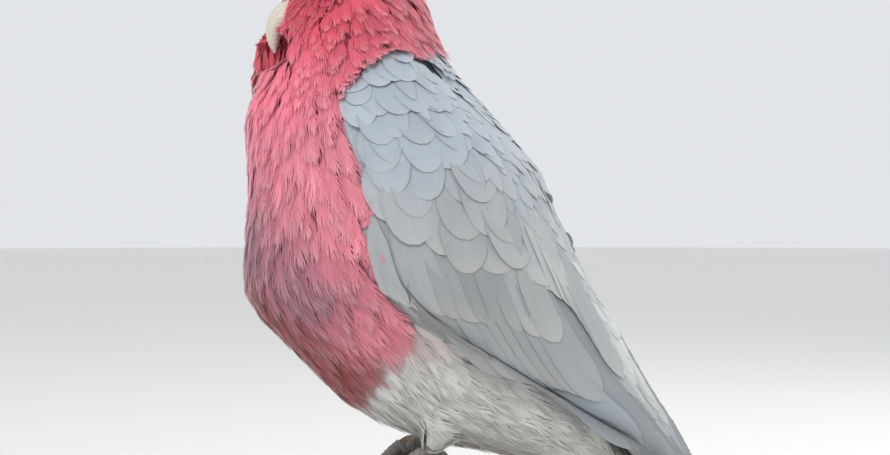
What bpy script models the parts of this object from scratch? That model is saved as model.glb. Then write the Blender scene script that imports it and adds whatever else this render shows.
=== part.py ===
"""A life-size model of a resting galah, gripping a short cut branch on a plain display stand.

The bird faces -X with its left side towards -Y. Lengths in this file are millimetres in the
bird's own layout, and to_world() turns them into metres with the stand's underside at z = 0.
"""

import math

import bmesh
import bpy
from mathutils import Euler, Matrix, Vector

MM = 0.001
GAP = 0.3

# The layout's origin is in the middle of the back; these two put the model over its base.
CENTRE_X = 26.0
FLOOR_Z = -224.0

# Body rings from the nape down to the wing tips: the point on the breast side (x, z), the
# point on the back (x, z) and the half width, all out to the tips of the feathers.
BODY_RINGS = (
    ((-52, 116), (-26, 122), 14),
    ((-70, 99), (-13, 112), 27),
    ((-90, 84), (-6, 98), 35),
    ((-87.5, 69), (-1, 81), 40),
    ((-93, 51), (12, 64), 47),
    ((-92, 30), (28, 46), 53),
    ((-92, 8), (42, 29), 56),
    ((-93.5, -14), (52, 9), 57),
    ((-92, -34), (60, -8), 56),
    ((-78, -50), (68, -23), 52),
    ((-62, -66), (77, -38), 47),
    ((-44, -83), (87, -55), 42),
    ((-12, -97), (96, -71), 35),
    ((28, -105), (105, -85), 27),
    ((60, -114), (113, -99), 20),
    ((86, -128), (121, -115), 15),
    ((110, -146), (130, -132), 12),
    ((131, -155), (138, -149), 10),
)
FIRST_RING = -2

# Below the shoulders the trunk's own back lies under the folded wings.
TRUNK_BACK = {6: (54, -8), 7: (57, -25), 8: (60, -42), 9: (62, -57), 10: (64, -70), 11: (68, -82), 12: (74, -94)}
TRUNK_WIDTH = {6: 54, 7: 48, 8: 41, 9: 35, 10: 29, 11: 22, 12: 14}
NECK_CUT = 1.0
# The covert feathers under the tail run on past the last ring, as scale and reach.
VENT_TOWARDS = Vector((0.72, 0, -0.69))
VENT_TAPER = ((0.84, 9), (0.62, 17), (0.36, 23))
TRUNK_END = 12.0

# The folded wing covers each ring between two angles, from 0 at the breast to 180 at the back.
WING_FRONT = (117, 85, 81, 80, 82, 82, 83, 90, 101, 106, 104, 102, 102, 105, 118)
WING_REAR = (126, 150, 158, 163, 167, 171, 174, 175, 175, 175, 174, 172, 168, 160, 140)
WING_FIRST = 1.0
WING_LAST = 15.0
WING_DEPTH = 6.5
WING_TIP_DEPTH = 1.6

TAIL_ROOT = (58, -76)
TAIL_TIP = (144, -176)
TAIL_HALF_WIDTH = (15, 27)
TAIL_HALF_DEPTH = (5.0, 1.6)

# The head has its own frame: x backwards from the bill, y to the right side, z up.
HEAD_AT = (-46, 0, 107)
HEAD_YAW = 22.0
HEAD_PITCH = 3.0
FACE_REACH = 24.5
HEAD_RADII = (30.0, 24.5, 26.5)
CHEEK_TOWARDS = (-42, 24, -25)
CHEEK_SWELL = 19.0
CHEEK_SPREAD = 18.0
FOREHEAD_TOWARDS = (-20, 0, 16)
EYE_AT = (-9.5, 19.6, 8.5)
EYE_RADIUS = 4.9
EYE_RING_RADIUS = 5.5
EYE_RING_TUBE = 1.3
EYE_RING_OUT = 1.6  # how far the ring stands out from the middle of the eye
BILL_ARC_AT = (-24, -16)
BILL_ARC_RADIUS = 15.5
BILL_ARC_FROM = 92.0
BILL_ARC_TO = -40.0

PERCH_AT = (-15, -123)
PERCH_RADIUS = 15.0
PERCH_LENGTH = 146.0
FOOT_Y = 23.0
# Parrots have two toes in front and two behind: side (-1 front), outward shift at the
# root and at the end, length.
TOES = ((-1, -3.4, -8.0, 21.0), (-1, 3.4, 8.5, 27.0), (1, -3.4, -9.5, 16.0), (1, 3.4, 10.0, 25.0))
TOE_RADIUS = 2.9
CLAW_LENGTH = 9.0

BASE_LENGTH = 232.0
BASE_WIDTH = 150.0
BASE_HEIGHT = 16.0
ROD_RADIUS = 4.0
SOCKET_DEPTH = 7.0


def to_world(x, y, z):
    return Vector(((x - CENTRE_X) * MM, y * MM, (z - FLOOR_Z) * MM))


def start_scene():
    for found in list(bpy.data.objects):
        bpy.data.objects.remove(found)
    for name in ("Galah", "Galah cutters"):
        collection = bpy.data.collections.new(name)
        bpy.context.scene.collection.children.link(collection)


def material(name, colour, roughness, metallic=0.0):
    found = bpy.data.materials.get(name)
    if found:
        return found
    made = bpy.data.materials.new(name)
    made.use_nodes = True
    shader = made.node_tree.nodes["Principled BSDF"]
    shader.inputs["Base Color"].default_value = (*colour, 1.0)
    shader.inputs["Roughness"].default_value = roughness
    shader.inputs["Metallic"].default_value = metallic
    made.diffuse_color = (*colour, 1.0)
    return made


def rose_plumage():
    return material("Rose plumage", (0.78, 0.22, 0.28), 0.8)


def grey_plumage():
    return material("Grey plumage", (0.52, 0.55, 0.58), 0.7)


def pale_plumage():
    return material("Pale crest plumage", (0.85, 0.62, 0.63), 0.8)


def horn():
    return material("Bone-coloured horn", (0.68, 0.62, 0.53), 0.45)


def bare_skin():
    return material("Bare grey skin", (0.45, 0.42, 0.40), 0.6)


def eye_surface():
    return material("Dark eye", (0.02, 0.012, 0.01), 0.1)


def bark():
    return material("Branch bark", (0.22, 0.16, 0.11), 0.85)


def display_wood():
    return material("Dark oiled wood", (0.13, 0.075, 0.045), 0.4)


def satin_steel():
    return material("Satin steel", (0.55, 0.55, 0.56), 0.35, 1.0)


def keep(obj, surface, parent=None, cutter=False):
    """Put a new object into its collection, with its material and its parent."""
    home = bpy.data.collections["Galah cutters" if cutter else "Galah"]
    home.objects.link(obj)
    if cutter:
        obj.hide_render = True
        obj.display_type = "WIRE"
    else:
        obj.data.materials.append(surface)
    if parent:
        obj.parent = parent
    return obj


def object_from(name, points, faces, surface, parent=None, cutter=False):
    mesh = bpy.data.meshes.new(name)
    mesh.from_pydata([tuple(point) for point in points], [], faces)
    work = bmesh.new()
    work.from_mesh(mesh)
    bmesh.ops.recalc_face_normals(work, faces=work.faces)
    work.to_mesh(mesh)
    work.free()
    mesh.shade_smooth()
    mesh.set_sharp_from_angle(angle=math.radians(50))
    return keep(bpy.data.objects.new(name, mesh), surface, parent, cutter)


def loft(rings):
    """Points and faces of a closed skin through rings of equally many points, capped flat.

    Its sides are triangles, so that a shape and its slightly larger room bend along the same lines.
    """
    count = len(rings[0])
    points = [point for ring in rings for point in ring]
    faces = []
    for row in range(len(rings) - 1):
        for step in range(count):
            here = row * count + step
            beside = row * count + (step + 1) % count
            faces.append((here, beside, beside + count))
            faces.append((here, beside + count, here + count))
    last = (len(rings) - 1) * count
    faces.append(tuple(range(count)))
    faces.append(tuple(range(last, last + count)))
    return points, faces


def cut(obj, *cutters):
    for cutter in cutters:
        modifier = obj.modifiers.new("Clear " + cutter.name, "BOOLEAN")
        modifier.operation = "DIFFERENCE"
        modifier.solver = "EXACT"
        modifier.object = cutter
    return obj


def through(values, place):
    """A smooth (Catmull-Rom) reading of evenly spaced numbers at a fractional place."""
    last = len(values) - 1
    place = min(max(place, 0.0), float(last))
    index = min(int(place), last - 1)
    part = place - index
    before = values[max(index - 1, 0)]
    start = values[index]
    end = values[index + 1]
    after = values[min(index + 2, last)]
    bend = 2 * before - 5 * start + 4 * end - after
    twist = -before + 3 * start - 3 * end + after
    return start + 0.5 * part * (end - before + part * (bend + part * twist))


def step_between(low, high, value):
    part = min(max((value - low) / (high - low), 0.0), 1.0)
    return part * part * (3 - 2 * part)


def ring_values(place):
    """Breast point, back point and half width of the feathered outline at a ring number."""
    row = place - FIRST_RING
    front = [through([ring[0][axis] for ring in BODY_RINGS], row) for axis in (0, 1)]
    back = [through([ring[1][axis] for ring in BODY_RINGS], row) for axis in (0, 1)]
    width = through([ring[2] for ring in BODY_RINGS], row)
    return front, back, width


def trunk_values(place):
    """The same for the trunk alone, which narrows under the folded wings."""
    front, back, width = ring_values(place)
    if place > 5:
        row = place - 5
        outline = [ring_values(5)[1]] + [TRUNK_BACK[number] for number in sorted(TRUNK_BACK)]
        back = [through([point[axis] for point in outline], row) for axis in (0, 1)]
        width = through([ring_values(5)[2]] + [TRUNK_WIDTH[number] for number in sorted(TRUNK_WIDTH)], row)
    return front, back, width


def on_ring(values, angle, inward=0.0, side=1):
    """The point at an angle round a ring, moved towards the ring's middle by a distance."""
    front, back, width = values
    middle = Vector(((front[0] + back[0]) / 2, 0, (front[1] + back[1]) / 2))
    half = Vector(((back[0] - front[0]) / 2, 0, (back[1] - front[1]) / 2))
    turn = math.radians(angle)
    out = -half * math.cos(turn) + Vector((0, side * width * math.sin(turn), 0))
    return middle + out * (1 - inward / max(out.length, 1.0))


def wing_angles(place):
    row = place - WING_FIRST
    return through(WING_FRONT, row), through(WING_REAR, row)


def wing_bed(place, angle):
    """How far the trunk is hollowed to take the folded wing."""
    front, rear = wing_angles(place)
    within = step_between(front - 3, front + 10, angle) * step_between(rear + 2, rear - 9, angle)
    return WING_DEPTH * within * step_between(1.0, 1.8, place) * step_between(7.5, 5.5, place)


def trunk_shape(grow=0.0, sides=24):
    count = 19
    rings = []
    for row in range(count):
        place = NECK_CUT + (TRUNK_END - NECK_CUT) * row / (count - 1)
        values = trunk_values(place if row else place - 0.016 * grow)
        ring = []
        for step in range(sides):
            angle = 360 * (step + 0.5) / sides
            side = 1 if angle < 180 else -1
            angle = angle if angle < 180 else 360 - angle
            ring.append(on_ring(values, angle, wing_bed(place, angle) - grow, side))
        rings.append(ring)
    middle = sum(rings[-1], Vector()) / sides
    last = [point - middle for point in rings[-1]]
    for scale, reach in VENT_TAPER:
        ahead = VENT_TOWARDS * (reach + grow)
        rings.append([middle + point * scale + ahead for point in last])
    points, faces = loft(rings)
    return [to_world(*point) for point in points], faces


def make_trunk():
    object_from("trunk", *trunk_shape(), rose_plumage())
    return object_from("trunk_room", *trunk_shape(GAP), None, cutter=True)


def make_neck(*neighbours):
    sides = 26
    rings = []
    count = 6
    for row in range(count):
        place = NECK_CUT - 0.018 - (NECK_CUT - 0.018 + 1.7) * row / (count - 1)
        values = ring_values(place)
        angles = [360 * (step + 0.5) / sides for step in range(sides)]
        rings.append(
            [on_ring(values, angle if angle < 180 else 360 - angle, 0, 1 if angle < 180 else -1) for angle in angles]
        )
    points, faces = loft(rings)
    neck = object_from("neck", [to_world(*point) for point in points], faces, rose_plumage())
    cut(neck, *neighbours)


def wing_shape(side):
    """One folded wing: its outer face on the feathered outline, its inner face in the trunk."""
    rows, across = 20, 7
    rings = []
    for row in range(rows):
        place = WING_FIRST + 0.1 + (WING_LAST - WING_FIRST - 0.1) * row / (rows - 1)
        front, rear = wing_angles(place)
        values = ring_values(place)
        fade = step_between(12.5, 8.5, place)
        depth = WING_TIP_DEPTH + (WING_DEPTH + 2.5 - WING_TIP_DEPTH) * fade
        angles = [front + (rear - front) * step / (across - 1) for step in range(across)]
        edges = [math.sin(math.pi * (step + 0.6) / (across + 0.2)) ** 0.5 for step in range(across)]
        outer = [on_ring(values, angle, -0.9 * edge * fade, side) for angle, edge in zip(angles, edges)]
        inner = [on_ring(values, angle, depth * (0.45 + 0.55 * edge), side) for angle, edge in zip(angles, edges)]
        rings.append(outer + inner[::-1])
    points, faces = loft(rings)
    return [to_world(*point) for point in points], faces


def make_wings(trunk_room):
    for name, side in (("left", -1), ("right", 1)):
        wing = object_from("wing_" + name, *wing_shape(side), grey_plumage())
        cut(wing, trunk_room)


def tail_shape():
    """The closed tail: a shallow roof of feathers that widens to a blunt round end."""
    rows, across = 8, 7
    root = Vector((TAIL_ROOT[0], 0, TAIL_ROOT[1]))
    tip = Vector((TAIL_TIP[0], 0, TAIL_TIP[1]))
    along = (tip - root).normalized()
    up = Vector((-along.z, 0, along.x))
    rings = []
    for row in range(rows):
        part = row / (rows - 1)
        width = TAIL_HALF_WIDTH[0] + (TAIL_HALF_WIDTH[1] - TAIL_HALF_WIDTH[0]) * part**0.8
        depth = TAIL_HALF_DEPTH[0] + (TAIL_HALF_DEPTH[1] - TAIL_HALF_DEPTH[0]) * part
        upper, lower = [], []
        for step in range(across):
            reach = 2 * step / (across - 1) - 1
            end = 1 - 0.10 * reach * reach
            at = root + along * (tip - root).length * part * (1 - (1 - end) * part)
            roof = -4.5 * reach * reach * (0.4 + 0.6 * part)
            thick = depth * (1 - 0.75 * reach * reach) + 0.35
            at = at + Vector((0, reach * width, 0))
            upper.append(at + up * (roof + thick))
            lower.append(at + up * (roof - thick))
        rings.append(upper + lower[::-1])
    points, faces = loft(rings)
    return [to_world(*point) for point in points], faces


def make_tail(trunk_room):
    tail = object_from("tail", *tail_shape(), grey_plumage())
    cut(tail, trunk_room)


def head_frame():
    frame = bpy.data.objects.new("head_frame", None)
    bpy.data.collections["Galah"].objects.link(frame)
    frame.location = to_world(*HEAD_AT)
    frame.rotation_euler = Euler((0, math.radians(-HEAD_PITCH), math.radians(HEAD_YAW)))
    return frame


def swell(direction, towards, amount, spread):
    """A smooth bump of the head round one direction, spread in degrees."""
    off = math.degrees(direction.angle(Vector(towards)))
    return amount * math.exp(-0.5 * (off / spread) ** 2)


def head_radius(direction):
    reach = FACE_REACH if direction.x < 0 else HEAD_RADII[0]
    flat = (direction.x / reach, direction.y / HEAD_RADII[1], direction.z / HEAD_RADII[2])
    radius = 1 / math.sqrt(sum(value * value for value in flat))
    x, y, z = CHEEK_TOWARDS
    radius += max(swell(direction, (x, side * y, z), CHEEK_SWELL, CHEEK_SPREAD) for side in (-1, 1))
    radius += swell(direction, FOREHEAD_TOWARDS, 1.5, 22)
    return radius


def make_head(parent, name="head", grow=0.0, cutter=False):
    work = bmesh.new()
    bmesh.ops.create_uvsphere(work, u_segments=22, v_segments=14, radius=1.0)
    for vertex in work.verts:
        direction = vertex.co.normalized()
        vertex.co = direction * (head_radius(direction) + grow) * MM
    bmesh.ops.triangulate(work, faces=work.faces, quad_method="FIXED")
    mesh = bpy.data.meshes.new(name)
    work.to_mesh(mesh)
    work.free()
    mesh.shade_smooth()
    return keep(bpy.data.objects.new(name, mesh), rose_plumage(), parent, cutter)


def bill_upper_shape(grow=0.0):
    """The hooked upper bill: oval sections swept down an arc, keeled along its ridge."""
    rows, sides = 11, 12
    rings = []
    for row in range(rows):
        part = row / (rows - 1)
        angle = math.radians(BILL_ARC_FROM + (BILL_ARC_TO - BILL_ARC_FROM) * part)
        height = 15.5 * (1 - part) ** 0.62 + 1.4 + 2 * grow
        width = 15.0 * (1 - part**1.5) ** 0.8 + 1.3 + 2 * grow
        out = Vector((-math.cos(angle), 0, math.sin(angle)))
        ridge = Vector((BILL_ARC_AT[0], 0, BILL_ARC_AT[1])) + out * (BILL_ARC_RADIUS + grow)
        ring = []
        for step in range(sides):
            turn = 2 * math.pi * step / sides
            keel = 1 - 0.16 * max(math.cos(turn), 0.0)
            lift = (math.cos(turn) - 1) * height / 2
            ring.append(ridge + out * lift + Vector((0, math.sin(turn) * width / 2 * keel, 0)))
        rings.append(ring)
    points, faces = loft(rings)
    return [point * MM for point in points], faces


def bill_lower_shape(grow=0.0):
    """The short scoop of the lower bill, tucked behind the hook."""
    rows, sides = 5, 10
    rings = []
    for row in range(rows):
        part = row / (rows - 1)
        middle = Vector((-13.5 - 12.5 * part - grow * (2 * part - 1), 0, -26.0 + 3.0 * part * part))
        width = (12.0 * (1 - 0.45 * part * part) + 2 * grow) / 2
        height = (7.0 * (1 - 0.55 * part) + 2 * grow) / 2
        ring = []
        for step in range(sides):
            turn = 2 * math.pi * step / sides
            ring.append(middle + Vector((0, math.sin(turn) * width, math.cos(turn) * height)))
        rings.append(ring)
    points, faces = loft(rings)
    return [point * MM for point in points], faces


def cere_shape(grow=0.0):
    """The low swollen band of skin over the root of the bill, which holds the nostrils."""
    rows, sides = 7, 8
    rings = []
    for row in range(rows):
        part = 2 * row / (rows - 1) - 1
        turn = math.radians(58 * part)
        bulge = math.sqrt(1 - 0.8 * part * part)
        middle = Vector((-23.6 + 1.8 * part * part, math.sin(turn) * 8.8, -5.4 + math.cos(turn) * 7.0))
        ring = []
        for step in range(sides):
            spin = 2 * math.pi * step / sides
            out = Vector((0, math.sin(turn), math.cos(turn)))
            ring.append(
                middle
                + Vector((math.cos(spin) * (3.4 * bulge + grow), 0, 0))
                + out * math.sin(spin) * (2.3 * bulge + grow)
            )
        rings.append(ring)
    points, faces = loft(rings)
    return [point * MM for point in points], faces


def ball(name, place, radius, surface, parent, cutter=False):
    work = bmesh.new()
    bmesh.ops.create_uvsphere(work, u_segments=12, v_segments=8, radius=radius * MM)
    bmesh.ops.translate(work, verts=work.verts, vec=Vector(place) * MM)
    bmesh.ops.triangulate(work, faces=work.faces, quad_method="FIXED")
    mesh = bpy.data.meshes.new(name)
    work.to_mesh(mesh)
    work.free()
    mesh.shade_smooth()
    return keep(bpy.data.objects.new(name, mesh), surface, parent, cutter)


def eye_side(side):
    return (EYE_AT[0], side * EYE_AT[1], EYE_AT[2])


def ring_tube(name, side, radius, tube, surface, parent, cutter=False):
    """The bare ring round an eye, facing straight out from the side of the head."""
    turns, sides = 12, 5
    outward = Vector((-0.22, side * 0.94, 0.25)).normalized()
    across = outward.cross(Vector((0, 0, 1))).normalized()
    upward = across.cross(outward)
    centre = Vector(eye_side(side)) + outward * EYE_RING_OUT
    points, faces = [], []
    for turn in range(turns):
        angle = 2 * math.pi * turn / turns
        out = across * math.cos(angle) + upward * math.sin(angle)
        for step in range(sides):
            spin = 2 * math.pi * step / sides
            points.append((centre + out * (radius + tube * math.cos(spin)) + outward * tube * math.sin(spin)) * MM)
            here = turn * sides + step
            beside = turn * sides + (step + 1) % sides
            ahead = (turn + 1) % turns * sides
            faces.append((here, beside, ahead + (step + 1) % sides, ahead + step))
    return object_from(name, points, faces, surface, parent, cutter)


def crest_shape():
    """The short crest, laid flat along the crown, free at its rear tip."""
    rows, sides = 8, 10
    rings = []
    for row in range(rows):
        part = row / (rows - 1)
        angle = math.radians(38 + 118 * part)
        direction = Vector((-math.cos(angle), 0, math.sin(angle)))
        middle = direction * (head_radius(direction) + 0.1 + 2.8 * part * part)
        width = 14.0 * math.sin(math.pi * (0.12 + 0.80 * part)) + 1.0
        height = 0.9 + 2.5 * math.sin(math.pi * part) ** 0.8
        ring = []
        for step in range(sides):
            spin = 2 * math.pi * step / sides
            wide = math.sin(spin) * width
            drop = -0.022 * wide * wide
            ring.append(middle + direction * (math.cos(spin) * height + drop) + Vector((0, wide, 0)))
        rings.append(ring)
    points, faces = loft(rings)
    return [point * MM for point in points], faces


def make_head_parts():
    """The head with its bill, cere, eyes and crest, and the room that each leaves in the next."""
    frame = head_frame()
    upper = object_from("bill_upper", *bill_upper_shape(), horn(), frame)
    upper_room = object_from("bill_upper_room", *bill_upper_shape(GAP), None, frame, True)
    lower = object_from("bill_lower", *bill_lower_shape(), horn(), frame)
    lower_room = object_from("bill_lower_room", *bill_lower_shape(GAP), None, frame, True)
    cut(lower, upper_room)
    cere = object_from("cere", *cere_shape(), bare_skin(), frame)
    cere_room = object_from("cere_room", *cere_shape(GAP), None, frame, True)
    cut(cere, upper_room)
    rooms = [upper_room, lower_room, cere_room]
    for name, side in (("left", -1), ("right", 1)):
        ball("eye_" + name, eye_side(side), EYE_RADIUS, eye_surface(), frame)
        eye_room = ball("eye_room_" + name, eye_side(side), EYE_RADIUS + GAP, None, frame, True)
        ring = ring_tube("eye_ring_" + name, side, EYE_RING_RADIUS, EYE_RING_TUBE, bare_skin(), frame)
        cut(ring, eye_room)
        ring_room = ring_tube(
            "eye_ring_room_" + name, side, EYE_RING_RADIUS, EYE_RING_TUBE + GAP, None, frame, True
        )
        rooms += [eye_room, ring_room]
    cut(make_head(frame), *rooms)
    head_room = make_head(frame, "head_room", GAP, True)
    crest = object_from("crest", *crest_shape(), pale_plumage(), frame)
    cut(crest, head_room)
    return head_room, upper_room, lower_room


def along_perch(angle, radius, y):
    """A point round the branch, from 0 on top, negative towards the front."""
    turn = math.radians(angle)
    return Vector((PERCH_AT[0] + radius * math.sin(turn), y, PERCH_AT[1] + radius * math.cos(turn)))


def toe_shapes(side, toe):
    """A toe and its claw, wrapped round the branch."""
    facing, root_y, end_y, length = toe
    reach = PERCH_RADIUS + GAP + TOE_RADIUS
    first = 22.0
    swing = math.degrees(length / reach)
    rings = []
    rows, sides = 6, 8
    for row in range(rows):
        part = row / (rows - 1)
        knuckle = 1 + 0.08 * math.cos(6 * math.pi * part)
        radius = TOE_RADIUS * (1 - 0.30 * part) * knuckle
        y = side * (FOOT_Y + root_y + (end_y - root_y) * part)
        at = along_perch(facing * (first + swing * part), PERCH_RADIUS + GAP + radius, y)
        out = (at - Vector((PERCH_AT[0], y, PERCH_AT[1]))).normalized()
        rings.append(
            [
                at + out * math.cos(turn) * radius + Vector((0, math.sin(turn) * radius, 0))
                for turn in (2 * math.pi * step / sides for step in range(sides))
            ]
        )
    toe_mesh = loft(rings)
    rings = []
    rows, sides = 5, 6
    start = first + swing + math.degrees(GAP / reach)
    for row in range(rows):
        part = row / (rows - 1)
        radius = 1.75 * (1 - part) ** 0.75 + 0.22
        y = side * (FOOT_Y + end_y * (1 + 0.05 * part))
        lift = 1.9 * math.sin(math.pi * min(part * 1.1, 1.0)) * 0.6
        at = along_perch(
            facing * (start + math.degrees(CLAW_LENGTH / reach) * part), PERCH_RADIUS + GAP + radius + lift, y
        )
        out = (at - Vector((PERCH_AT[0], y, PERCH_AT[1]))).normalized()
        rings.append(
            [
                at + out * math.cos(turn) * radius + Vector((0, math.sin(turn) * radius * 0.8, 0))
                for turn in (2 * math.pi * step / sides for step in range(sides))
            ]
        )
    return toe_mesh, loft(rings)


def tube_between(start, end, radii, sides=12, rows=5):
    """Rings of a straight limb from start to end, with a radius at each end and at the waist."""
    along = (end - start).normalized()
    across = along.cross(Vector((0, 1, 0))).normalized()
    beside = across.cross(along)
    rings = []
    for row in range(rows):
        part = row / (rows - 1)
        radius = through(radii, part * (len(radii) - 1))
        at = start + (end - start) * part
        rings.append(
            [
                at + across * math.cos(turn) * radius + beside * math.sin(turn) * radius
                for turn in (2 * math.pi * step / sides for step in range(sides))
            ]
        )
    return rings


def make_legs(trunk_room):
    for name, side in (("left", -1), ("right", 1)):
        hip = Vector((6, side * 19, -76))
        knee = Vector((-8, side * 22.4, -101))
        girths = (8.0, 9.5, 9.8, 8.8, 6.4, 3.2)
        points, faces = loft(tube_between(hip, knee, girths, 14, 7))
        thigh = object_from("thigh_" + name, [to_world(*point) for point in points], faces, rose_plumage())
        cut(thigh, trunk_room)
        down = (knee - hip).normalized()
        points, faces = loft(tube_between(hip, knee + down * GAP, [girth + GAP for girth in girths], 14, 7))
        room = object_from("thigh_room_" + name, [to_world(*point) for point in points], faces, None, cutter=True)

        top = knee - down * 2.5
        sole_z = PERCH_AT[1] + PERCH_RADIUS + GAP
        rings = tube_between(
            top, Vector((PERCH_AT[0] + 1.5, side * FOOT_Y, sole_z + 4.2)), (2.9, 2.8, 3.2), 14, 4
        )
        for part in (0.35, 0.7, 0.92):
            spread = math.sqrt(1 - part * part)
            height = sole_z + 2.1 - 2.1 * part
            rings.append(
                [
                    Vector(
                        (
                            PERCH_AT[0] + math.cos(turn) * 5.2 * (0.65 + 0.35 * spread),
                            side * FOOT_Y + math.sin(turn) * 6.0 * (0.65 + 0.35 * spread),
                            height,
                        )
                    )
                    for turn in (2 * math.pi * step / 14 for step in range(14))
                ]
            )
        points, faces = loft(rings)
        shin = object_from("shin_" + name, [to_world(*point) for point in points], faces, bare_skin())
        cut(shin, room)
        for number, toe in enumerate(TOES, 1):
            toe_mesh, claw_mesh = toe_shapes(side, toe)
            for piece, (points, faces), surface in (("toe", toe_mesh, bare_skin()), ("claw", claw_mesh, horn())):
                object_from(
                    f"{piece}_{name}_{number}", [to_world(*point) for point in points], faces, surface
                )


def make_perch(rod_room):
    """The cut branch: straight enough to grip, a little thicker towards one end, with a stub."""
    rows, sides = 6, 18
    rings = []
    for row in range(rows):
        part = row / (rows - 1)
        y = PERCH_LENGTH * (part - 0.5)
        far = abs(2 * part - 1)
        radius = PERCH_RADIUS - 0.5 + 0.5 * step_between(0.7, 0.2, far) + 0.9 * step_between(0.75, 1.0, part)
        rings.append([along_perch(360 * step / sides, radius, y) for step in range(sides)])
    points, faces = loft(rings)
    perch = object_from("stand_perch", [to_world(*point) for point in points], faces, bark())
    cut(perch, rod_room)


def cylinder(name, radius, low, high, surface, cutter=False):
    work = bmesh.new()
    bmesh.ops.create_cone(
        work,
        cap_ends=True,
        segments=16,
        radius1=radius * MM,
        radius2=radius * MM,
        depth=(high - low) * MM,
    )
    bmesh.ops.translate(work, verts=work.verts, vec=to_world(PERCH_AT[0], 0, (low + high) / 2))
    mesh = bpy.data.meshes.new(name)
    work.to_mesh(mesh)
    work.free()
    mesh.shade_smooth()
    mesh.set_sharp_from_angle(angle=math.radians(40))
    return keep(bpy.data.objects.new(name, mesh), surface, None, cutter)


def make_stand():
    base_top = FLOOR_Z + BASE_HEIGHT
    rod_top = PERCH_AT[1] - PERCH_RADIUS + SOCKET_DEPTH
    cylinder("stand_rod", ROD_RADIUS, base_top + GAP, rod_top, satin_steel())
    rod_room = cylinder("rod_room", ROD_RADIUS + GAP, base_top, rod_top + GAP, None, True)
    make_perch(rod_room)

    work = bmesh.new()
    bmesh.ops.create_cone(
        work, cap_ends=True, segments=28, radius1=0.5, radius2=0.5, depth=BASE_HEIGHT * MM
    )
    size = Matrix.Diagonal((BASE_LENGTH * MM, BASE_WIDTH * MM, 1.0, 1.0))
    bmesh.ops.transform(work, matrix=size, verts=work.verts)
    bmesh.ops.translate(work, verts=work.verts, vec=(0, 0, BASE_HEIGHT * MM / 2))
    mesh = bpy.data.meshes.new("stand_base")
    work.to_mesh(mesh)
    work.free()
    mesh.shade_smooth()
    mesh.set_sharp_from_angle(angle=math.radians(40))
    base = keep(bpy.data.objects.new("stand_base", mesh), display_wood())
    bevel = base.modifiers.new("Rounded rim", "BEVEL")
    bevel.width = 3.0 * MM
    bevel.segments = 2
    bevel.limit_method = "ANGLE"

    profile = bpy.data.meshes.new("stand_collar")
    outline = [(ROD_RADIUS + GAP, 5), (ROD_RADIUS + 3, 5), (ROD_RADIUS + 5, 3.4), (ROD_RADIUS + 6.5, 0)]
    points = [(radius * MM, 0, height * MM) for radius, height in outline + [(ROD_RADIUS + GAP, 0)]]
    links = [(index, (index + 1) % len(points)) for index in range(len(points))]
    profile.from_pydata(points, links, [])
    collar = keep(bpy.data.objects.new("stand_collar", profile), satin_steel())
    collar.location = to_world(PERCH_AT[0], 0, base_top + GAP)
    turned = collar.modifiers.new("Turned", "SCREW")
    turned.steps = 16
    turned.render_steps = 16
    turned.use_merge_vertices = True
    turned.merge_threshold = 0.00001
    turned.use_smooth_shade = True


def main():
    start_scene()
    head_rooms = make_head_parts()
    trunk_room = make_trunk()
    make_neck(*head_rooms)
    make_wings(trunk_room)
    make_tail(trunk_room)
    make_legs(trunk_room)
    make_stand()


main()
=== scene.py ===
"""A life-size galah that grips a short cut branch over a plain display stand.

The bird faces -X and its left side is towards -Y. Everything is in metres, and MM turns a
length in millimetres into metres. One skin lies under the whole coat, and each feather is a
closed vane that follows the lie of the coat over the body's outline.
"""

import functools
import math
from dataclasses import dataclass

import bmesh
import bpy
import numpy as np
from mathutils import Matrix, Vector, noise
from mathutils.bvhtree import BVHTree


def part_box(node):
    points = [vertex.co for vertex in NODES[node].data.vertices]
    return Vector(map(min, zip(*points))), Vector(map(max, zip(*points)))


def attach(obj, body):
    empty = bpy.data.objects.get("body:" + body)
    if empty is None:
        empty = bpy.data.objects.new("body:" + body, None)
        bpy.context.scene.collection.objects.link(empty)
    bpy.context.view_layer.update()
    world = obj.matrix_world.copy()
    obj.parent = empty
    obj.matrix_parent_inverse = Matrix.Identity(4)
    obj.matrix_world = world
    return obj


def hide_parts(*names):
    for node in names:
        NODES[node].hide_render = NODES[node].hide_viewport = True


bl_info = {
    "name": "Galah on a Display Perch",
    "version": (1, 0, 0),
    "blender": (4, 5, 0),
    "location": "View3D > Sidebar > Galah",
    "description": "Builds the skin, coat, bill, feet and stand of a life-size galah",
    "category": "Object",
}

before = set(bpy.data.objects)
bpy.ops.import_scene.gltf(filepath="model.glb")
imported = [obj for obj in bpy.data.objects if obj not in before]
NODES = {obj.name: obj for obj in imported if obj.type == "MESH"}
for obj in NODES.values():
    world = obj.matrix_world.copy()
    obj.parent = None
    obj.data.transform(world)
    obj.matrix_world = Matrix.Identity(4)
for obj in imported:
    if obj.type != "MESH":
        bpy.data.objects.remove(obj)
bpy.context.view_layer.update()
MM = 0.001

FLESH = ("head", "neck", "trunk", "thigh_left", "thigh_right", "wing_left", "wing_right", "tail", "crest")
# The number that the outline's vertices hold for each of these nodes.
PART = {name: index for index, name in enumerate(FLESH)}
WINGS = [PART["wing_left"], PART["wing_right"]]
SIDES = (("left", -1.0), ("right", 1.0))

# The hollow under the tip of the bill.
HOLLOW_AT = np.array((-108, -18, 304)) * MM
HOLLOW_RADII = np.array((15, 26, 9)) * MM

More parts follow.
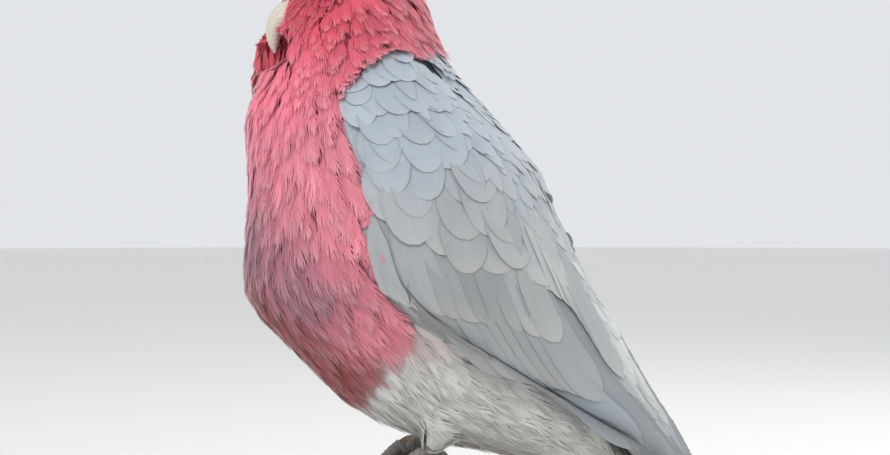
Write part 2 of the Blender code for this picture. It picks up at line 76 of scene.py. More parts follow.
# The lie of the coat: at x, z in mm, the angle in degrees by which feathers point below the
# level towards the tail. Both sides of the bird follow the same guides.
BODY_LIE = (
    (-85, 322, 75), (-118, 268, 95), (-118, 232, 91), (-119, 200, 88), (-112, 180, 66), (-90, 158, 48),
    (-62, 142, 38), (-20, 126, 26), (20, 118, 22), (-78, 296, 82), (-66, 262, 70), (-62, 225, 66),
    (-60, 190, 60), (-40, 165, 48), (-52, 318, 62), (-30, 305, 52), (-14, 280, 48), (5, 255, 52),
    (22, 230, 58), (36, 200, 60), (50, 172, 58), (40, 150, 46), (70, 120, 46), (-70, 310, 80),
)
WING_LIE = (
    (-45, 300, 58), (-64, 284, 72), (-72, 268, 80), (-66, 248, 76), (-57, 226, 80), (-55, 206, 78),
    (-47, 190, 62), (-36, 181, 48), (-10, 167, 38), (17, 152, 33), (46, 133, 33), (80, 105, 46),
    (108, 72, 56), (-27, 293, 46), (-8, 275, 48), (8, 255, 52), (22, 233, 58), (33, 210, 60),
    (44, 190, 61), (56, 168, 58), (72, 146, 59), (85, 128, 61), (100, 98, 62), (-42, 270, 68),
    (-32, 242, 78), (-15, 216, 80), (0, 242, 68), (4, 210, 74), (-20, 196, 68), (2, 188, 62),
    (20, 190, 62), (18, 166, 48), (40, 165, 52), (62, 140, 45),
)

# Where the rose of the coat changes, as x, |y|, z in mm and the colour there.
ROSE_AREAS = (
    ((-78, 22, 322), "cheek"), ((-95, 0, 318), "cheek"), ((-50, 10, 322), "nape"), ((-32, 12, 305), "nape"),
    ((-92, 18, 292), "throat"), ((-108, 12, 270), "upper_breast"), ((-80, 42, 262), "side_breast"),
    ((-112, 18, 232), "breast"), ((-72, 52, 228), "side_breast"), ((-90, 40, 212), "breast"),
    # The belly's colour holds painted shade of the underside as well as its own deep rose.
    ((-112, 14, 196), "belly"), ((-70, 50, 190), "side_breast"), ((-85, 25, 168), "belly"),
    ((-55, 40, 160), "belly"), ((-25, 20, 138), "pale_belly"), ((-35, 50, 150), "pale_belly"),
)
# The same for the grey, as x, z in mm.
GREY_AREAS = (
    ((-55, 275), "shoulder"), ((-35, 245), "shoulder"), ((-10, 265), "shoulder"), ((-25, 215), "covert"),
    ((10, 215), "covert"), ((30, 200), "covert"), ((0, 175), "quill"), ((40, 165), "quill"),
    # The sunlit places are painted sunlight on the rear of the folded wing.
    ((50, 180), "sunlit"), ((38, 202), "sunlit"), ((62, 130), "shoulder"), ((75, 128), "quill"),
    ((105, 75), "quill_tip"),
)

# Where the rose ends and the grey of a wing starts, x and z in mm: up its front, then along its top.
WING_FRONT_LINE = (
    (-39, 184), (-49, 193), (-55, 208), (-55, 225), (-61, 243), (-63, 252), (-70, 263), (-72, 277),
    (-67, 289), (-61, 296), (-53, 302),
)
WING_TOP_LINE = ((-53, 320), (-52, 303), (-44, 303), (-33, 299), (-27, 297), (40, 297))
# The rose belly ends and the grey vent starts at a line through this place, square to this direction.
VENT_LINE_AT = np.array((-73, 164)) * MM
VENT_WAY = (0.797, -0.603)
# How high the grey of the vent and of the mantle reaches.
VENT_TOP = 185 * MM
MANTLE_TOP = 316 * MM


def linear(code):
    """The linear colour of an sRGB hex value."""
    shares = [int(code[at : at + 2], 16) / 255 for at in (1, 3, 5)]
    return tuple(c / 12.92 if c <= 0.04045 else ((c + 0.055) / 1.055) ** 2.4 for c in shares)


def colour_property(name, description, code):
    """A colour setting whose default is an sRGB hex value."""
    return bpy.props.FloatVectorProperty(
        name=name, description=description, default=linear(code), subtype="COLOR", min=0, max=1
    )


def length_property(name, description, millimetres):
    """A length setting whose default is in millimetres."""
    return bpy.props.FloatProperty(
        name=name, description=description, default=millimetres * MM, unit="LENGTH", min=0
    )


class GalahPlumageSettings(bpy.types.PropertyGroup):
    """Sizes and colours of the coat."""

    breast_length: length_property("Breast feather", "Length of a feather of the breast", 26.0)
    breast_half: length_property("Breast half width", "Half the width of a breast feather", 6.2)
    breast_spacing: length_property("Breast spacing", "Distance between breast feather roots", 6.0)
    head_length: length_property("Head feather", "Length of a feather of the cheek", 11.0)
    head_spacing: length_property("Head spacing", "Distance between head feather roots", 2.3)
    coat_depth: length_property("Coat depth", "Depth of the skin below the feather tips", 3.6)
    cheek: colour_property("Cheek", "Rose of the cheeks", "#D8485F")
    nape: colour_property("Nape", "Rose of the nape", "#DA6C7B")
    throat: colour_property("Throat", "Rose of the throat", "#FF7D97")
    upper_breast: colour_property("Upper breast", "Rose of the upper breast", "#ED87A0")
    side_breast: colour_property("Side of the breast", "Rose beside the wing", "#E38496")
    # The belly's deep rose is partly its own and partly painted shade of the underside.
    breast: colour_property("Breast", "Dusky rose of the middle breast", "#A06A7A")
    belly: colour_property("Belly", "Deep rose of the belly, partly painted shade", "#943839")
    pale_belly: colour_property("Pale belly", "Pale rose towards the vent", "#CC786F")
    # Painted shade: the dark maroon that the coat takes in the hollow under the bill.
    hollow_painted_shade: colour_property("Painted hollow shade", "Dark maroon painted shade in the hollow under the bill", "#6A1830")
    beard: colour_property("Beard", "Deep rose of the long cheek feathers", "#E96578")
    crown: colour_property("Crown", "Pale pink of the crown and crest", "#DDB7BC")
    shoulder: colour_property("Shoulder", "Blue grey of the small coverts", "#A1ABB5")
    covert: colour_property("Coverts", "Warm grey of the long coverts", "#A3A6A8")
    # Painted light: the pale grey where sunlight falls on the rear of the folded wing.
    sunlit: colour_property("Painted sunlit edge", "Painted sunlight on the innermost wing feathers", "#D0D4D4")
    quill: colour_property("Flight feathers", "Grey of the flight feathers", "#909395")
    quill_tip: colour_property("Wing tip", "Dark grey of the wing tip", "#959A9D")
    down: colour_property("Vent", "Pale grey of the vent and rump", "#CBCCC9")
    tail: colour_property("Tail", "Grey of the tail feathers", "#93948F")


class GalahPartsSettings(bpy.types.PropertyGroup):
    """Colours of the bill, eyes, feet and stand."""

    horn: colour_property("Bill", "Bone coloured horn of the bill", "#C6BFB2")
    bare_skin: colour_property("Bare skin", "Grey skin of the eye ring and cere", "#8E8583")
    foot: colour_property("Foot", "Grey scaly skin of the feet", "#77736F")
    claw: colour_property("Claw", "Dark horn of the claws", "#3A3634")
    iris: colour_property("Iris", "Dark brown of the iris", "#3B2117")
    bark: colour_property("Bark", "Grey brown of the bark", "#6E5B4B")
    sawn_wood: colour_property("Sawn wood", "Pale wood of the sawn ends", "#C8A578")
    steel: colour_property("Steel", "Satin steel of the rod and collar", "#B9BABA")
    base_wood: colour_property("Base", "Oiled wood of the base", "#6B432A")


class GalahStageSettings(bpy.types.PropertyGroup):
    """The floor, the lights and the camera."""

    floor: colour_property("Floor", "Plain pale floor", "#EDECEA")
    key_power: bpy.props.FloatProperty(
        name="Key light", description="Power of the key light", default=13.0, min=0, unit="POWER"
    )
    rim_power: bpy.props.FloatProperty(
        name="Rim light", description="Power of the light behind the bird", default=7.0, min=0, unit="POWER"
    )
    camera_distance: length_property("Camera distance", "From the camera to the bird's middle", 600.0)


# --- Arrays -----------------------------------------------------------------------------------


def smooth(value):
    """A soft step from 0 at 0 to 1 at 1."""
    value = np.clip(value, 0.0, 1.0)
    return value * value * (3 - 2 * value)


def unit(vectors):
    """The vectors at a length of one."""
    return vectors / np.maximum(np.linalg.norm(vectors, axis=-1, keepdims=True), 1e-12)


def read(items, name, width, kind=np.float32):
    """One value of each item of a mesh, as rows of this width."""
    values = np.empty(len(items) * width, kind)
    items.foreach_get(name, values)
    return values.reshape(-1, width)


def mottle(places, size, seed):
    """Soft patches of about this size, from -1 to 1."""
    rng = np.random.default_rng(seed)
    waves = unit(rng.normal(size=(7, 3))) * rng.uniform(0.6, 1.6, (7, 1)) * math.tau / size
    return np.sin(places @ waves.T + rng.uniform(0, math.tau, 7)).sum(axis=1) / 4.0


def weighed(places, guides, values, reach):
    """Values at places, blended from guides by nearness."""
    gap = ((places[:, None, :] - guides[None, :, :]) ** 2).sum(axis=2)
    weight = 1 / (gap + reach * reach) ** 2
    return (weight @ values) / weight.sum(axis=1, keepdims=True)


# --- Objects ----------------------------------------------------------------------------------


def keep(name, mesh, surface, slot, *replaced):
    """Makes a piece of a mesh and lets it ride on the model's one body; the slot, which would name its
    finish, is not used.
    """
    mesh.materials.append(surface)
    obj = bpy.data.objects.new(name, mesh)
    bpy.context.scene.collection.objects.link(obj)
    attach(obj, "root")
    if replaced:
        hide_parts(*replaced)


def mesh_from(name, points, faces):
    """A smooth shaded mesh from arrays of points and triangles."""
    mesh = bpy.data.meshes.new(name)
    mesh.vertices.add(len(points))
    mesh.vertices.foreach_set("co", np.ascontiguousarray(points, np.float32).ravel())
    mesh.loops.add(faces.size)
    mesh.loops.foreach_set("vertex_index", np.ascontiguousarray(faces, np.int32).ravel())
    mesh.polygons.add(len(faces))
    mesh.polygons.foreach_set("loop_start", np.arange(len(faces), dtype=np.int32) * 3)
    mesh.update(calc_edges=True)
    mesh.validate()
    mesh.shade_smooth()
    return mesh


def paint(mesh, tints):
    """Stores a colour on each vertex, with a share in alpha that differs from feather to feather."""
    layer = mesh.attributes.new("tint", "FLOAT_COLOR", "POINT")
    layer.data.foreach_set("color", np.ascontiguousarray(tints, np.float32).ravel())


def map_corners(mesh, name, places):
    """A UV map from one place for each face corner."""
    layer = mesh.uv_layers.new(name=name)
    layer.data.foreach_set("uv", np.ascontiguousarray(places, np.float32).ravel())


def throat_hollow():
    """The hollow under the bill tip, between the near cheek and the beard of the far one."""
    build = bmesh.new()
    bmesh.ops.create_icosphere(build, subdivisions=4, radius=1.0)
    for vertex in build.verts:
        vertex.co = Vector(HOLLOW_AT + HOLLOW_RADII * np.array(vertex.co))
    mesh = bpy.data.meshes.new("hollow")
    build.to_mesh(mesh)
    build.free()
    return mesh


def fused(names, cell, passes, hollow=None):
    """One closed mesh of several nodes, with the thin gaps between them closed."""
    build = bmesh.new()
    for name in names:
        build.from_mesh(NODES[name].data)
    mesh = bpy.data.meshes.new("fused")
    build.to_mesh(mesh)
    build.free()
    helper = bpy.data.objects.new("fused", mesh)
    bpy.context.scene.collection.objects.link(helper)
    remesh = helper.modifiers.new("Fuse", "REMESH")
    remesh.mode = "VOXEL"
    remesh.voxel_size = cell
    if hollow:
        tool = bpy.data.objects.new("hollow", hollow)
        bpy.context.scene.collection.objects.link(tool)
        cut = helper.modifiers.new("Hollow", "BOOLEAN")
        cut.object = tool
        again = helper.modifiers.new("Fuse again", "REMESH")
        again.mode = "VOXEL"
        again.voxel_size = cell
    relax = helper.modifiers.new("Relax", "SMOOTH")
    relax.factor = 0.5
    relax.iterations = passes
    bpy.context.view_layer.update()
    evaluated = helper.evaluated_get(bpy.context.evaluated_depsgraph_get())
    result = bpy.data.meshes.new_from_object(evaluated)
    bpy.data.objects.remove(helper)
    if hollow:
        bpy.data.objects.remove(tool)
    return result


class Form:
    """A closed surface as arrays, with a search tree to settle points on it."""

    def __init__(self, points, normals, faces, part):
        self.points, self.normals, self.faces, self.part = points, normals, faces, part
        self.tree = BVHTree.FromPolygons(points.tolist(), faces.tolist())

    @functools.cached_property
    def face_parts(self):
        """The node that each face belongs to."""
        return self.part[self.faces[:, 0]]

    @functools.cached_property
    def centres(self):
        """The middle of each face."""
        return self.points[self.faces].mean(axis=1)

    def settle(self, places):
        """The nearest places on the surface, and the smooth outward directions there."""
        found = [self.tree.find_nearest(place) for place in places.tolist()]
        settled = np.array([tuple(hit[0]) for hit in found])
        faces = self.faces[[hit[2] for hit in found]]
        return settled, unit(self.normals[faces].mean(axis=1))


def distances(tree, places, limit=1.0):
    """How far each place is from a node's surface."""
    found = (tree.find_nearest(place, limit) for place in places.tolist())
    return np.array([hit[3] if hit[0] else limit for hit in found])


@functools.cache
def node_tree(name):
    """A search tree of a node's surface."""
    mesh = NODES[name].data
    mesh.calc_loop_triangles()
    faces = [tuple(face.vertices) for face in mesh.loop_triangles]
    return BVHTree.FromPolygons([tuple(vertex.co) for vertex in mesh.vertices], faces)


def corners_of(name):
    """The low and the high corner of a node's box, as arrays."""
    return [np.array(list(corner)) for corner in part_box(name)]


def middle(name):
    """The middle of a node's box."""
    low, high = corners_of(name)
    return (low + high) / 2


@functools.cache
def outline():
    """The bird's outline out to its feather tips, and the node that each vertex belongs to."""
    mesh = fused(FLESH, 1.3 * MM, 4, throat_hollow())
    mesh.calc_loop_triangles()
    points = read(mesh.vertices, "co", 3).astype(float)
    normals = read(mesh.vertices, "normal", 3).astype(float)
    faces = read(mesh.loop_triangles, "vertices", 3, np.int32)
    gaps = np.stack([distances(node_tree(name), points, 0.01) for name in FLESH])
    return Form(points, normals, faces, gaps.argmin(axis=0))


@functools.cache
def wing_sheet(name, side):
    """The outer face of one folded wing and the body around it, with no inner faces to stray to."""
    form = outline()
    parts = [PART[part] for part in ("wing_" + name, "trunk", "neck", "thigh_" + name)]
    outward = side * form.normals[form.faces][:, :, 1].mean(axis=1) > 0.04
    chosen = outward & np.isin(form.face_parts, parts)
    return Form(form.points, form.normals, form.faces[chosen], form.part)


@functools.cache
def head_axes():
    """The head's middle between the eyes, and its directions forward, right and up."""
    left, right = middle("eye_left"), middle("eye_right")
    centre = (left + right) / 2
    across = unit(right - left)
    ahead = middle("bill_upper") - centre
    ahead = unit(ahead - across * (ahead @ across) - np.array((0, 0, ahead[2] * 0.9)))
    return centre, ahead, across, unit(np.cross(across, ahead))


def unwrap(places, side):
    """Places on the skin's own unwrap: round the body on each side, and along its middle line."""
    line = np.stack([middle("head"), middle("neck"), middle("trunk"), middle("tail")])
    line[:, 1] = 0
    spans = np.diff(line, axis=0)
    lengths = np.linalg.norm(spans, axis=1)
    starts = np.concatenate(([0], np.cumsum(lengths)))
    best = np.full(len(places), np.inf)
    along = np.zeros(len(places))
    angle = np.zeros(len(places))
    for index, (start, span, length) in enumerate(zip(line, spans, lengths)):
        share = (places - start) @ span / length**2
        low = -3.0 if index == 0 else 0.0
        high = 3.0 if index == len(spans) - 1 else 1.0
        share = np.clip(share, low, high)
        off = places - start - share[:, None] * span
        gap = np.linalg.norm(off, axis=1)
        back = np.array((-span[2], 0, span[0])) / length
        turn = np.arctan2(np.abs(off[:, 1]), off @ back)
        nearer = gap < best
        best = np.where(nearer, gap, best)
        along = np.where(nearer, starts[index] + share * length, along)
        angle = np.where(nearer, turn, angle)
    across = 0.5 + 0.49 * side * angle / math.pi
    return np.stack((across, 0.16 + 0.72 * along / starts[-1] * 0.8), axis=1)


# --- Lie and colours of the coat ----------------------------------------------------------------


def guided(places, guides):
    """The lie of the coat from its guides, in the upright plane along the body."""
    table = np.array(guides, float)
    turn = np.radians(table[:, 2])
    ways = np.stack((np.cos(turn), np.zeros(len(turn)), -np.sin(turn)), axis=1)
    return unit(weighed(places[:, (0, 2)], table[:, :2] * MM, ways, 9 * MM))


def wing_lie(places):
    """The lie of the coat over a folded wing."""
    return guided(places, WING_LIE)


def body_lie(places):
    """Down the body from its guides, and away from the bill over the head."""
    centre, ahead, _, up = head_axes()
    way = guided(places, BODY_LIE)
    bill = centre + ahead * 17 * MM - up * 3 * MM
    from_bill = unit(places - bill)
    off = places - centre
    cheek = smooth((-3 * MM - off @ up) / (8 * MM))[:, None]
    forward = np.clip((off @ ahead - 2 * MM) / (18 * MM), -0.3, 1)[:, None]
    from_bill = unit(from_bill * (1 - cheek) + unit(ahead * forward - up) * cheek)
    near = smooth((46 * MM - np.linalg.norm(places - centre, axis=1)) / (20 * MM))[:, None]
    way = unit(way * (1 - near) + from_bill * near)
    for name, _ in SIDES:
        off = places - middle("eye_" + name)
        gap = np.linalg.norm(off, axis=1, keepdims=True)
        way = way + off / gap * 1.6 * smooth((13 * MM - gap) / (7 * MM))
    return unit(way)


def area_colours(places, areas, reach):
    """Colours at places, blended from those of the areas by nearness."""
    settings = bpy.context.scene.galah_plumage
    guides = np.array([area[0] for area in areas], float) * MM
    colours = np.array([tuple(getattr(settings, area[1])) for area in areas])
    return weighed(places, guides, colours, reach)


def rose(places):
    """The rose at places, the same on both sides of the bird."""
    mirrored = places * (1, -1, 1)
    mirrored[:, 1] = np.abs(places[:, 1])
    return area_colours(mirrored, ROSE_AREAS, 12 * MM)


def grey(places):
    """The grey at places, by their x and z alone."""
    return area_colours(places[:, (0, 2)], GREY_AREAS, 14 * MM)


def behind(places):
    """How far each place lies behind the line down the bird's middle."""
    top, low = np.array((-40, 312)) * MM, np.array((16, 140)) * MM
    line = unit(low - top)
    return (places[:, (0, 2)] - top) @ np.array((-line[1], line[0]))


def inside_wing_line(places):
    """Where the grey of a folded wing meets the rose of the neck and breast, True on the grey side."""
    x, y, z = places.T / MM
    front, top = np.array(WING_FRONT_LINE, float).T, np.array(WING_TOP_LINE, float).T
    past_front = x > np.interp(z, front[1], front[0])
    below_top = z < np.interp(x, top[0], top[1])
    return past_front & below_top & (z > front[1][0]) & (np.abs(y) > 14)


def greyness(places):
    """The share of grey: the mantle below the nape, the wing's surroundings, and the vent."""
    x, y, z = places.T
    below_nape = MANTLE_TOP - z + 2 * MM * np.sin(y * 700)
    mantle = smooth((behind(places) + 3 * MM) / (5 * MM)) * smooth(below_nape / (5 * MM))
    past_vent = (x - VENT_LINE_AT[0]) * VENT_WAY[0] + (z - VENT_LINE_AT[1]) * VENT_WAY[1]
    past_vent = past_vent + 2 * MM * mottle(places, 14 * MM, 8)
    vent = smooth((past_vent + 3 * MM) / (8 * MM)) * smooth((VENT_TOP - z) / (4 * MM))
    return np.clip(mantle + vent + inside_wing_line(places), 0, 1), vent


def markings(places, part):
    """The coat's colour at places of the outline that belong to these nodes, with painted shade in the hollow
    under the bill.
    """
    settings = bpy.context.scene.galah_plumage
    pink = rose(places)
    pink = pink * (1 + 0.10 * mottle(places, 26 * MM, 5))[:, None]
    centre, ahead, across, up = head_axes()
    off = places - centre
    # Painted shade: the rose turns dark maroon in the hollow under the bill tip.
    hollow_shade_share = smooth(2.9 - 2.4 * np.linalg.norm((places - HOLLOW_AT) / HOLLOW_RADII, axis=1))
    hollow_shade_share = (hollow_shade_share * smooth((places[:, 2] - 303 * MM) / (4 * MM)))[:, None]
    pink = pink * (1 - hollow_shade_share) + np.array(settings.hollow_painted_shade) * hollow_shade_share
    crown = smooth((off @ up - 0.25 * np.abs(off @ across) + 2 * MM * mottle(places, 9 * MM, 12)) / (20 * MM))
    crown = crown * smooth((34 * MM + off @ ahead) / (10 * MM)) * (part != PART["trunk"])
    crown = np.where(part == PART["crest"], 1.0, crown)[:, None]
    pink = pink * (1 - crown) + np.array(settings.crown) * crown
    share, vent = greyness(places)
    share = np.where(part <= PART["thigh_right"], share, 0.0)[:, None]
    share = np.where((part == PART["head"])[:, None], 0.0, share)
    soft = grey(places) * (1 - vent[:, None]) + np.array(settings.down) * vent[:, None]
    colour = pink * (1 - share) + soft * share
    colour = np.where(np.isin(part, WINGS)[:, None], grey(places), colour)
    return np.where((part == PART["tail"])[:, None], np.array(settings.tail), colour)


# --- Feathers -----------------------------------------------------------------------------------

# The section of a vane: across the half width, droop of the edge, thickness.
VANE_SECTION = np.array(
    ((-1, -1, 0), (-0.52, -0.28, 0.42), (0, 0, 0.85), (0.52, -0.28, 0.42), (1, -1, 0), (0, -0.3, -0.5))
)
# The flatter section of a barb, in the same order.
BARB_SECTION = np.array(((-1, 0, 0), (0, 0, 1), (1, 0, 0)), float)


# The share of its thickness that a vane or a barb loses towards its tip.
TIP_THINNING = 0.6


@dataclass(frozen=True)
class Cut:
    """How a sort of feather is cut. Lengths are metres, and shares are of the feather's length."""

    stations: int = 7
    quill: float = 0.2
    blunt: float = 0.55
    round: float = 2.2
    fullness: float = 0.5
    bend: float = 55 * MM
    crown: float = 0.03
    thick: float = 0.26 * MM
    sink: float = 2.4 * MM
    sink_power: float = 1.15
    lift: float = 0.2 * MM
    dip: float = 0.0
    vane_end: float = 1.0
    vane_width: float = 1.0
    barbs: int = 0
    barb_rings: int = 3
    barb_half: float = 0.26 * MM
    barb_thick: float = 0.12 * MM
    barb_from: float = 0.25
    tip_round: float = 0.2
    ragged: float = 0.06

    @functools.cached_property
    def shares(self):
        """Where the stations lie along a feather, closer together towards the tip."""
        return 1 - (1 - np.linspace(0, 1, self.stations + 1)) ** 1.5


def turned(way, normal, angle):
    """Directions in the surface, turned about its normal by an angle for each feather."""
    flat = unit(way - normal * (way * normal).sum(axis=1, keepdims=True))
    side = np.cross(flat, normal)
    return flat * np.cos(angle)[:, None] + side * np.sin(angle)[:, None]


def comb(form, starts, lie, lengths, shares, sway, upstream=False):
    """Shafts that follow the lie of the coat over a form, from the root to the tip."""
    spot, normal = form.settle(starts)
    path, normals = [spot], [normal]
    steps = np.diff(shares[::-1] if upstream else shares)
    for step in steps:
        way = turned(lie(spot), normal, sway)
        spot, normal = form.settle(spot + way * (lengths * step)[:, None])
        path.append(spot)
        normals.append(normal)
    if upstream:
        path, normals = path[::-1], normals[::-1]
    return np.stack(path, axis=1), np.stack(normals, axis=1)


def band_faces(rings, size):
    """Faces between rings of this many points each, every ring joined to the next."""
    faces = []
    for ring in range(rings - 1):
        for at in range(size):
            a, b = ring * size + at, ring * size + (at + 1) % size
            faces += [(a, b, b + size), (a, b + size, a + size)]
    return faces


def sweep(path, normal, half, droop, thick, section):
    """Closed shapes along paths: a ring at each station but the last, which is the point."""
    tangent = unit(np.gradient(path, axis=1))
    side = unit(np.cross(tangent, normal))
    upward = np.cross(side, tangent)
    count, rings, size = path.shape[0], path.shape[1] - 1, len(section)
    across = half[:, :, None] * section[:, 0]
    height = droop[:, :, None] * section[:, 1] + thick[:, :, None] * section[:, 2]
    sideways = side[:, :rings, None] * across[..., None]
    body = path[:, :rings, None] + sideways + upward[:, :rings, None] * height[..., None]
    points = np.concatenate((body.reshape(count, -1, 3), path[:, -1:]), axis=1)
    faces = [(0, at + 1, at) for at in range(1, size - 1)] + band_faces(rings, size)
    last = (rings - 1) * size
    faces += [(last + at, last + (at + 1) % size, rings * size) for at in range(size)]
    return points, np.array(faces)


# The rim of a vane is sharp: its two faces meet there at more than this angle.
VANE_SHARP = math.radians(65)


class Coat:
    """Gathers feathers of one sort of plumage and writes them as joined meshes."""

    def __init__(self):
        self.groups = []

    def add(self, points, faces, tint, root, u, v):
        """Feathers of one build: u and v run across and along each, and root is where it grows."""
        side = np.where(root[:, 1] < 0, -1.0, 1.0)
        patch = np.stack((u, np.clip(v, 0, 1.4) / 1.4), axis=-1) * 0.003
        bake = unwrap(root, side)[:, None, :] + patch
        shade = np.broadcast_to(tint[:, None, :], (*points.shape[:2], 4))
        self.groups.append((points, faces, shade, bake, np.stack((u, v), axis=-1)))

    def triangles(self):
        """How many triangles the coat holds."""
        return sum(len(points) * len(faces) for points, faces, *_ in self.groups)

    def finish(self, name, slot, most=185000):
        """Writes the coat as pieces of fewer triangles than the limit."""
        parts = max(1, math.ceil(self.triangles() / most))
        for part in range(parts):
            chosen = [[], [], [], [], []]
            first = 0
            for points, faces, shade, bake, vane in self.groups:
                count = len(points)
                share = slice(count * part // parts, count * (part + 1) // parts)
                some = points[share]
                offsets = first + np.arange(len(some)) * points.shape[1]
                all_faces = (faces[None] + offsets[:, None, None]).reshape(-1, 3)
                first += some.shape[0] * some.shape[1]
                for store, values in zip(chosen, (some, all_faces, shade[share], bake[share], vane[share])):
                    store.append(values.reshape(-1, values.shape[-1]))
            points, faces, shade, bake, vane = (np.concatenate(values) for values in chosen)
            piece_name = name if parts == 1 else f"{name}_{part + 1}"
            mesh = mesh_from(piece_name, points, faces)
            mesh.set_sharp_from_angle(angle=VANE_SHARP)
            paint(mesh, shade)
            map_corners(mesh, "OFBake", bake[faces.ravel()])
            map_corners(mesh, "vane", vane[faces.ravel()])
            keep(piece_name, mesh, plumage(slot), slot)


def at_shares(values, shares, at):
    """Values along each shaft at shares of its length, carried on past the tip."""
    last = len(shares) - 1
    place = np.interp(at, shares, np.arange(last + 1.0))
    place = place + np.maximum(at - 1, 0) / (shares[-1] - shares[-2])
    low = np.clip(place.astype(int), 0, last - 1)
    part = (place - low)[..., None]
    rows = np.arange(len(values))[:, None]
    return values[rows, low] * (1 - part) + values[rows, low + 1] * part


def feather(coat, cut, path, normal, half, tint, rng, drop=None, turn=0.0):
    """Adds feathers along their shafts: a vane each, turned about its shaft, and loose barbs over it."""
    count = len(path)
    normal = unit(normal - np.cross(unit(np.gradient(path, axis=1)), normal) * turn)
    shares = cut.shares
    rise = -cut.sink * (1 - shares) ** cut.sink_power + cut.lift * shares**2
    rise = rise - cut.dip * smooth((shares - 0.8) / 0.2)
    path = path + normal * (rise[None, :] + (0 if drop is None else drop))[:, :, None]
    root = path[:, 0]
    inner = shares[:-1]
    width = cut.quill + (1 - cut.quill) * smooth(inner / 0.42)
    end = np.clip((inner - cut.blunt) / (1 - cut.blunt), 0, 1)
    width = width * np.clip(1 - end**cut.round, 0.03, 1) ** cut.fullness
    halves = half[:, None] * width * cut.vane_width
    droop = halves**2 / (2 * cut.bend) + halves * cut.crown
    thick = np.broadcast_to(cut.thick * (1 - TIP_THINNING * inner**2), halves.shape)
    at = np.broadcast_to(shares * cut.vane_end, (count, len(shares)))
    vane_path, vane_normal = at_shares(path, shares, at), at_shares(normal, shares, at)
    points, faces = sweep(vane_path, vane_normal, halves, droop, thick, VANE_SECTION)
    u = np.append(np.tile(VANE_SECTION[:, 0] * 0.5 * cut.vane_width + 0.5, len(inner)), 0.5)
    v = np.append(np.repeat(inner, len(VANE_SECTION)), 1.0) * cut.vane_end
    shape = (count, len(u))
    coat.add(points, faces, tint, root, np.broadcast_to(u, shape), np.broadcast_to(v, shape))
    if cut.barbs:
        add_barbs(coat, cut, path, normal, half, tint, root, rng)


def add_barbs(coat, cut, path, normal, half, tint, root, rng):
    """The loose barbs: fine flat strands that leave the shaft and fan out to the feather's end."""
    count, rings = len(path), cut.barb_rings
    shares = cut.shares
    side = unit(np.cross(unit(np.gradient(path, axis=1)), normal))
    fan = np.linspace(-1, 1, cut.barbs)[None, :] + rng.normal(0, 0.02, (count, cut.barbs))
    clump = cut.ragged * 1.4 * np.sin(fan * rng.uniform(4, 9, (count, 1)) + rng.uniform(0, 6, (count, 1)))
    start = 0.80 - (0.80 - cut.barb_from) * np.abs(fan) ** 0.9
    end = 1 - cut.tip_round * np.abs(fan) ** 2.2 + rng.normal(0, cut.ragged, fan.shape)
    out = fan * 0.98 + clump
    steps = np.append(np.linspace(0, 0.72, rings), 1.0)
    leave = 1 - (1 - steps) ** 1.5
    t = start[..., None] + (end - start)[..., None] * steps
    u = (fan * 0.12)[..., None] + (out - fan * 0.12)[..., None] * leave
    flat = (count, cut.barbs * len(steps))
    spot, away, over = (at_shares(values, shares, t.reshape(flat)) for values in (path, side, normal))
    reach = (u * half[:, None, None]).reshape(flat)[..., None]
    spread = rng.uniform(0.0, 0.35, (count, cut.barbs, 1)) * MM * (0.35 + steps**2)
    height = (cut.thick * 0.4 + spread).reshape(flat)[..., None]
    droop = reach**2 / (2 * cut.bend) + np.abs(reach) * cut.crown
    barb_path = (spot + away * reach + over * (height - droop)).reshape(-1, len(steps), 3)
    barb_normal = unit(over).reshape(-1, len(steps), 3)
    taper = 1 - TIP_THINNING * steps[:-1] ** 2
    fine = np.broadcast_to(taper * cut.barb_half, (len(barb_path), rings))
    thin = np.broadcast_to(taper * cut.barb_thick, (len(barb_path), rings))
    points, faces = sweep(barb_path, barb_normal, fine, fine * 0, thin, BARB_SECTION)
    per = points.shape[1]
    points = points.reshape(count, cut.barbs * per, 3)
    faces = (faces[None] + (np.arange(cut.barbs) * per)[:, None, None]).reshape(-1, 3)
    across = np.append(np.tile((-0.02, 0.0, 0.02), rings), 0.0)
    ring_of = np.append(np.repeat(np.arange(rings), 3), rings)
    shape = (count, cut.barbs * per)
    over_vane = (u[..., ring_of] * 0.5 + 0.5 + across).reshape(shape)
    coat.add(points, faces, tint, root, over_vane, t[..., ring_of].reshape(shape))


def relaxed(values, rounds):
    """Shafts with small kinks drawn straight, their two ends kept."""
    values = values.copy()
    for _ in range(rounds):
        values[:, 1:-1] = (values[:, :-2] + 2 * values[:, 1:-1] + values[:, 2:]) / 4
    return values


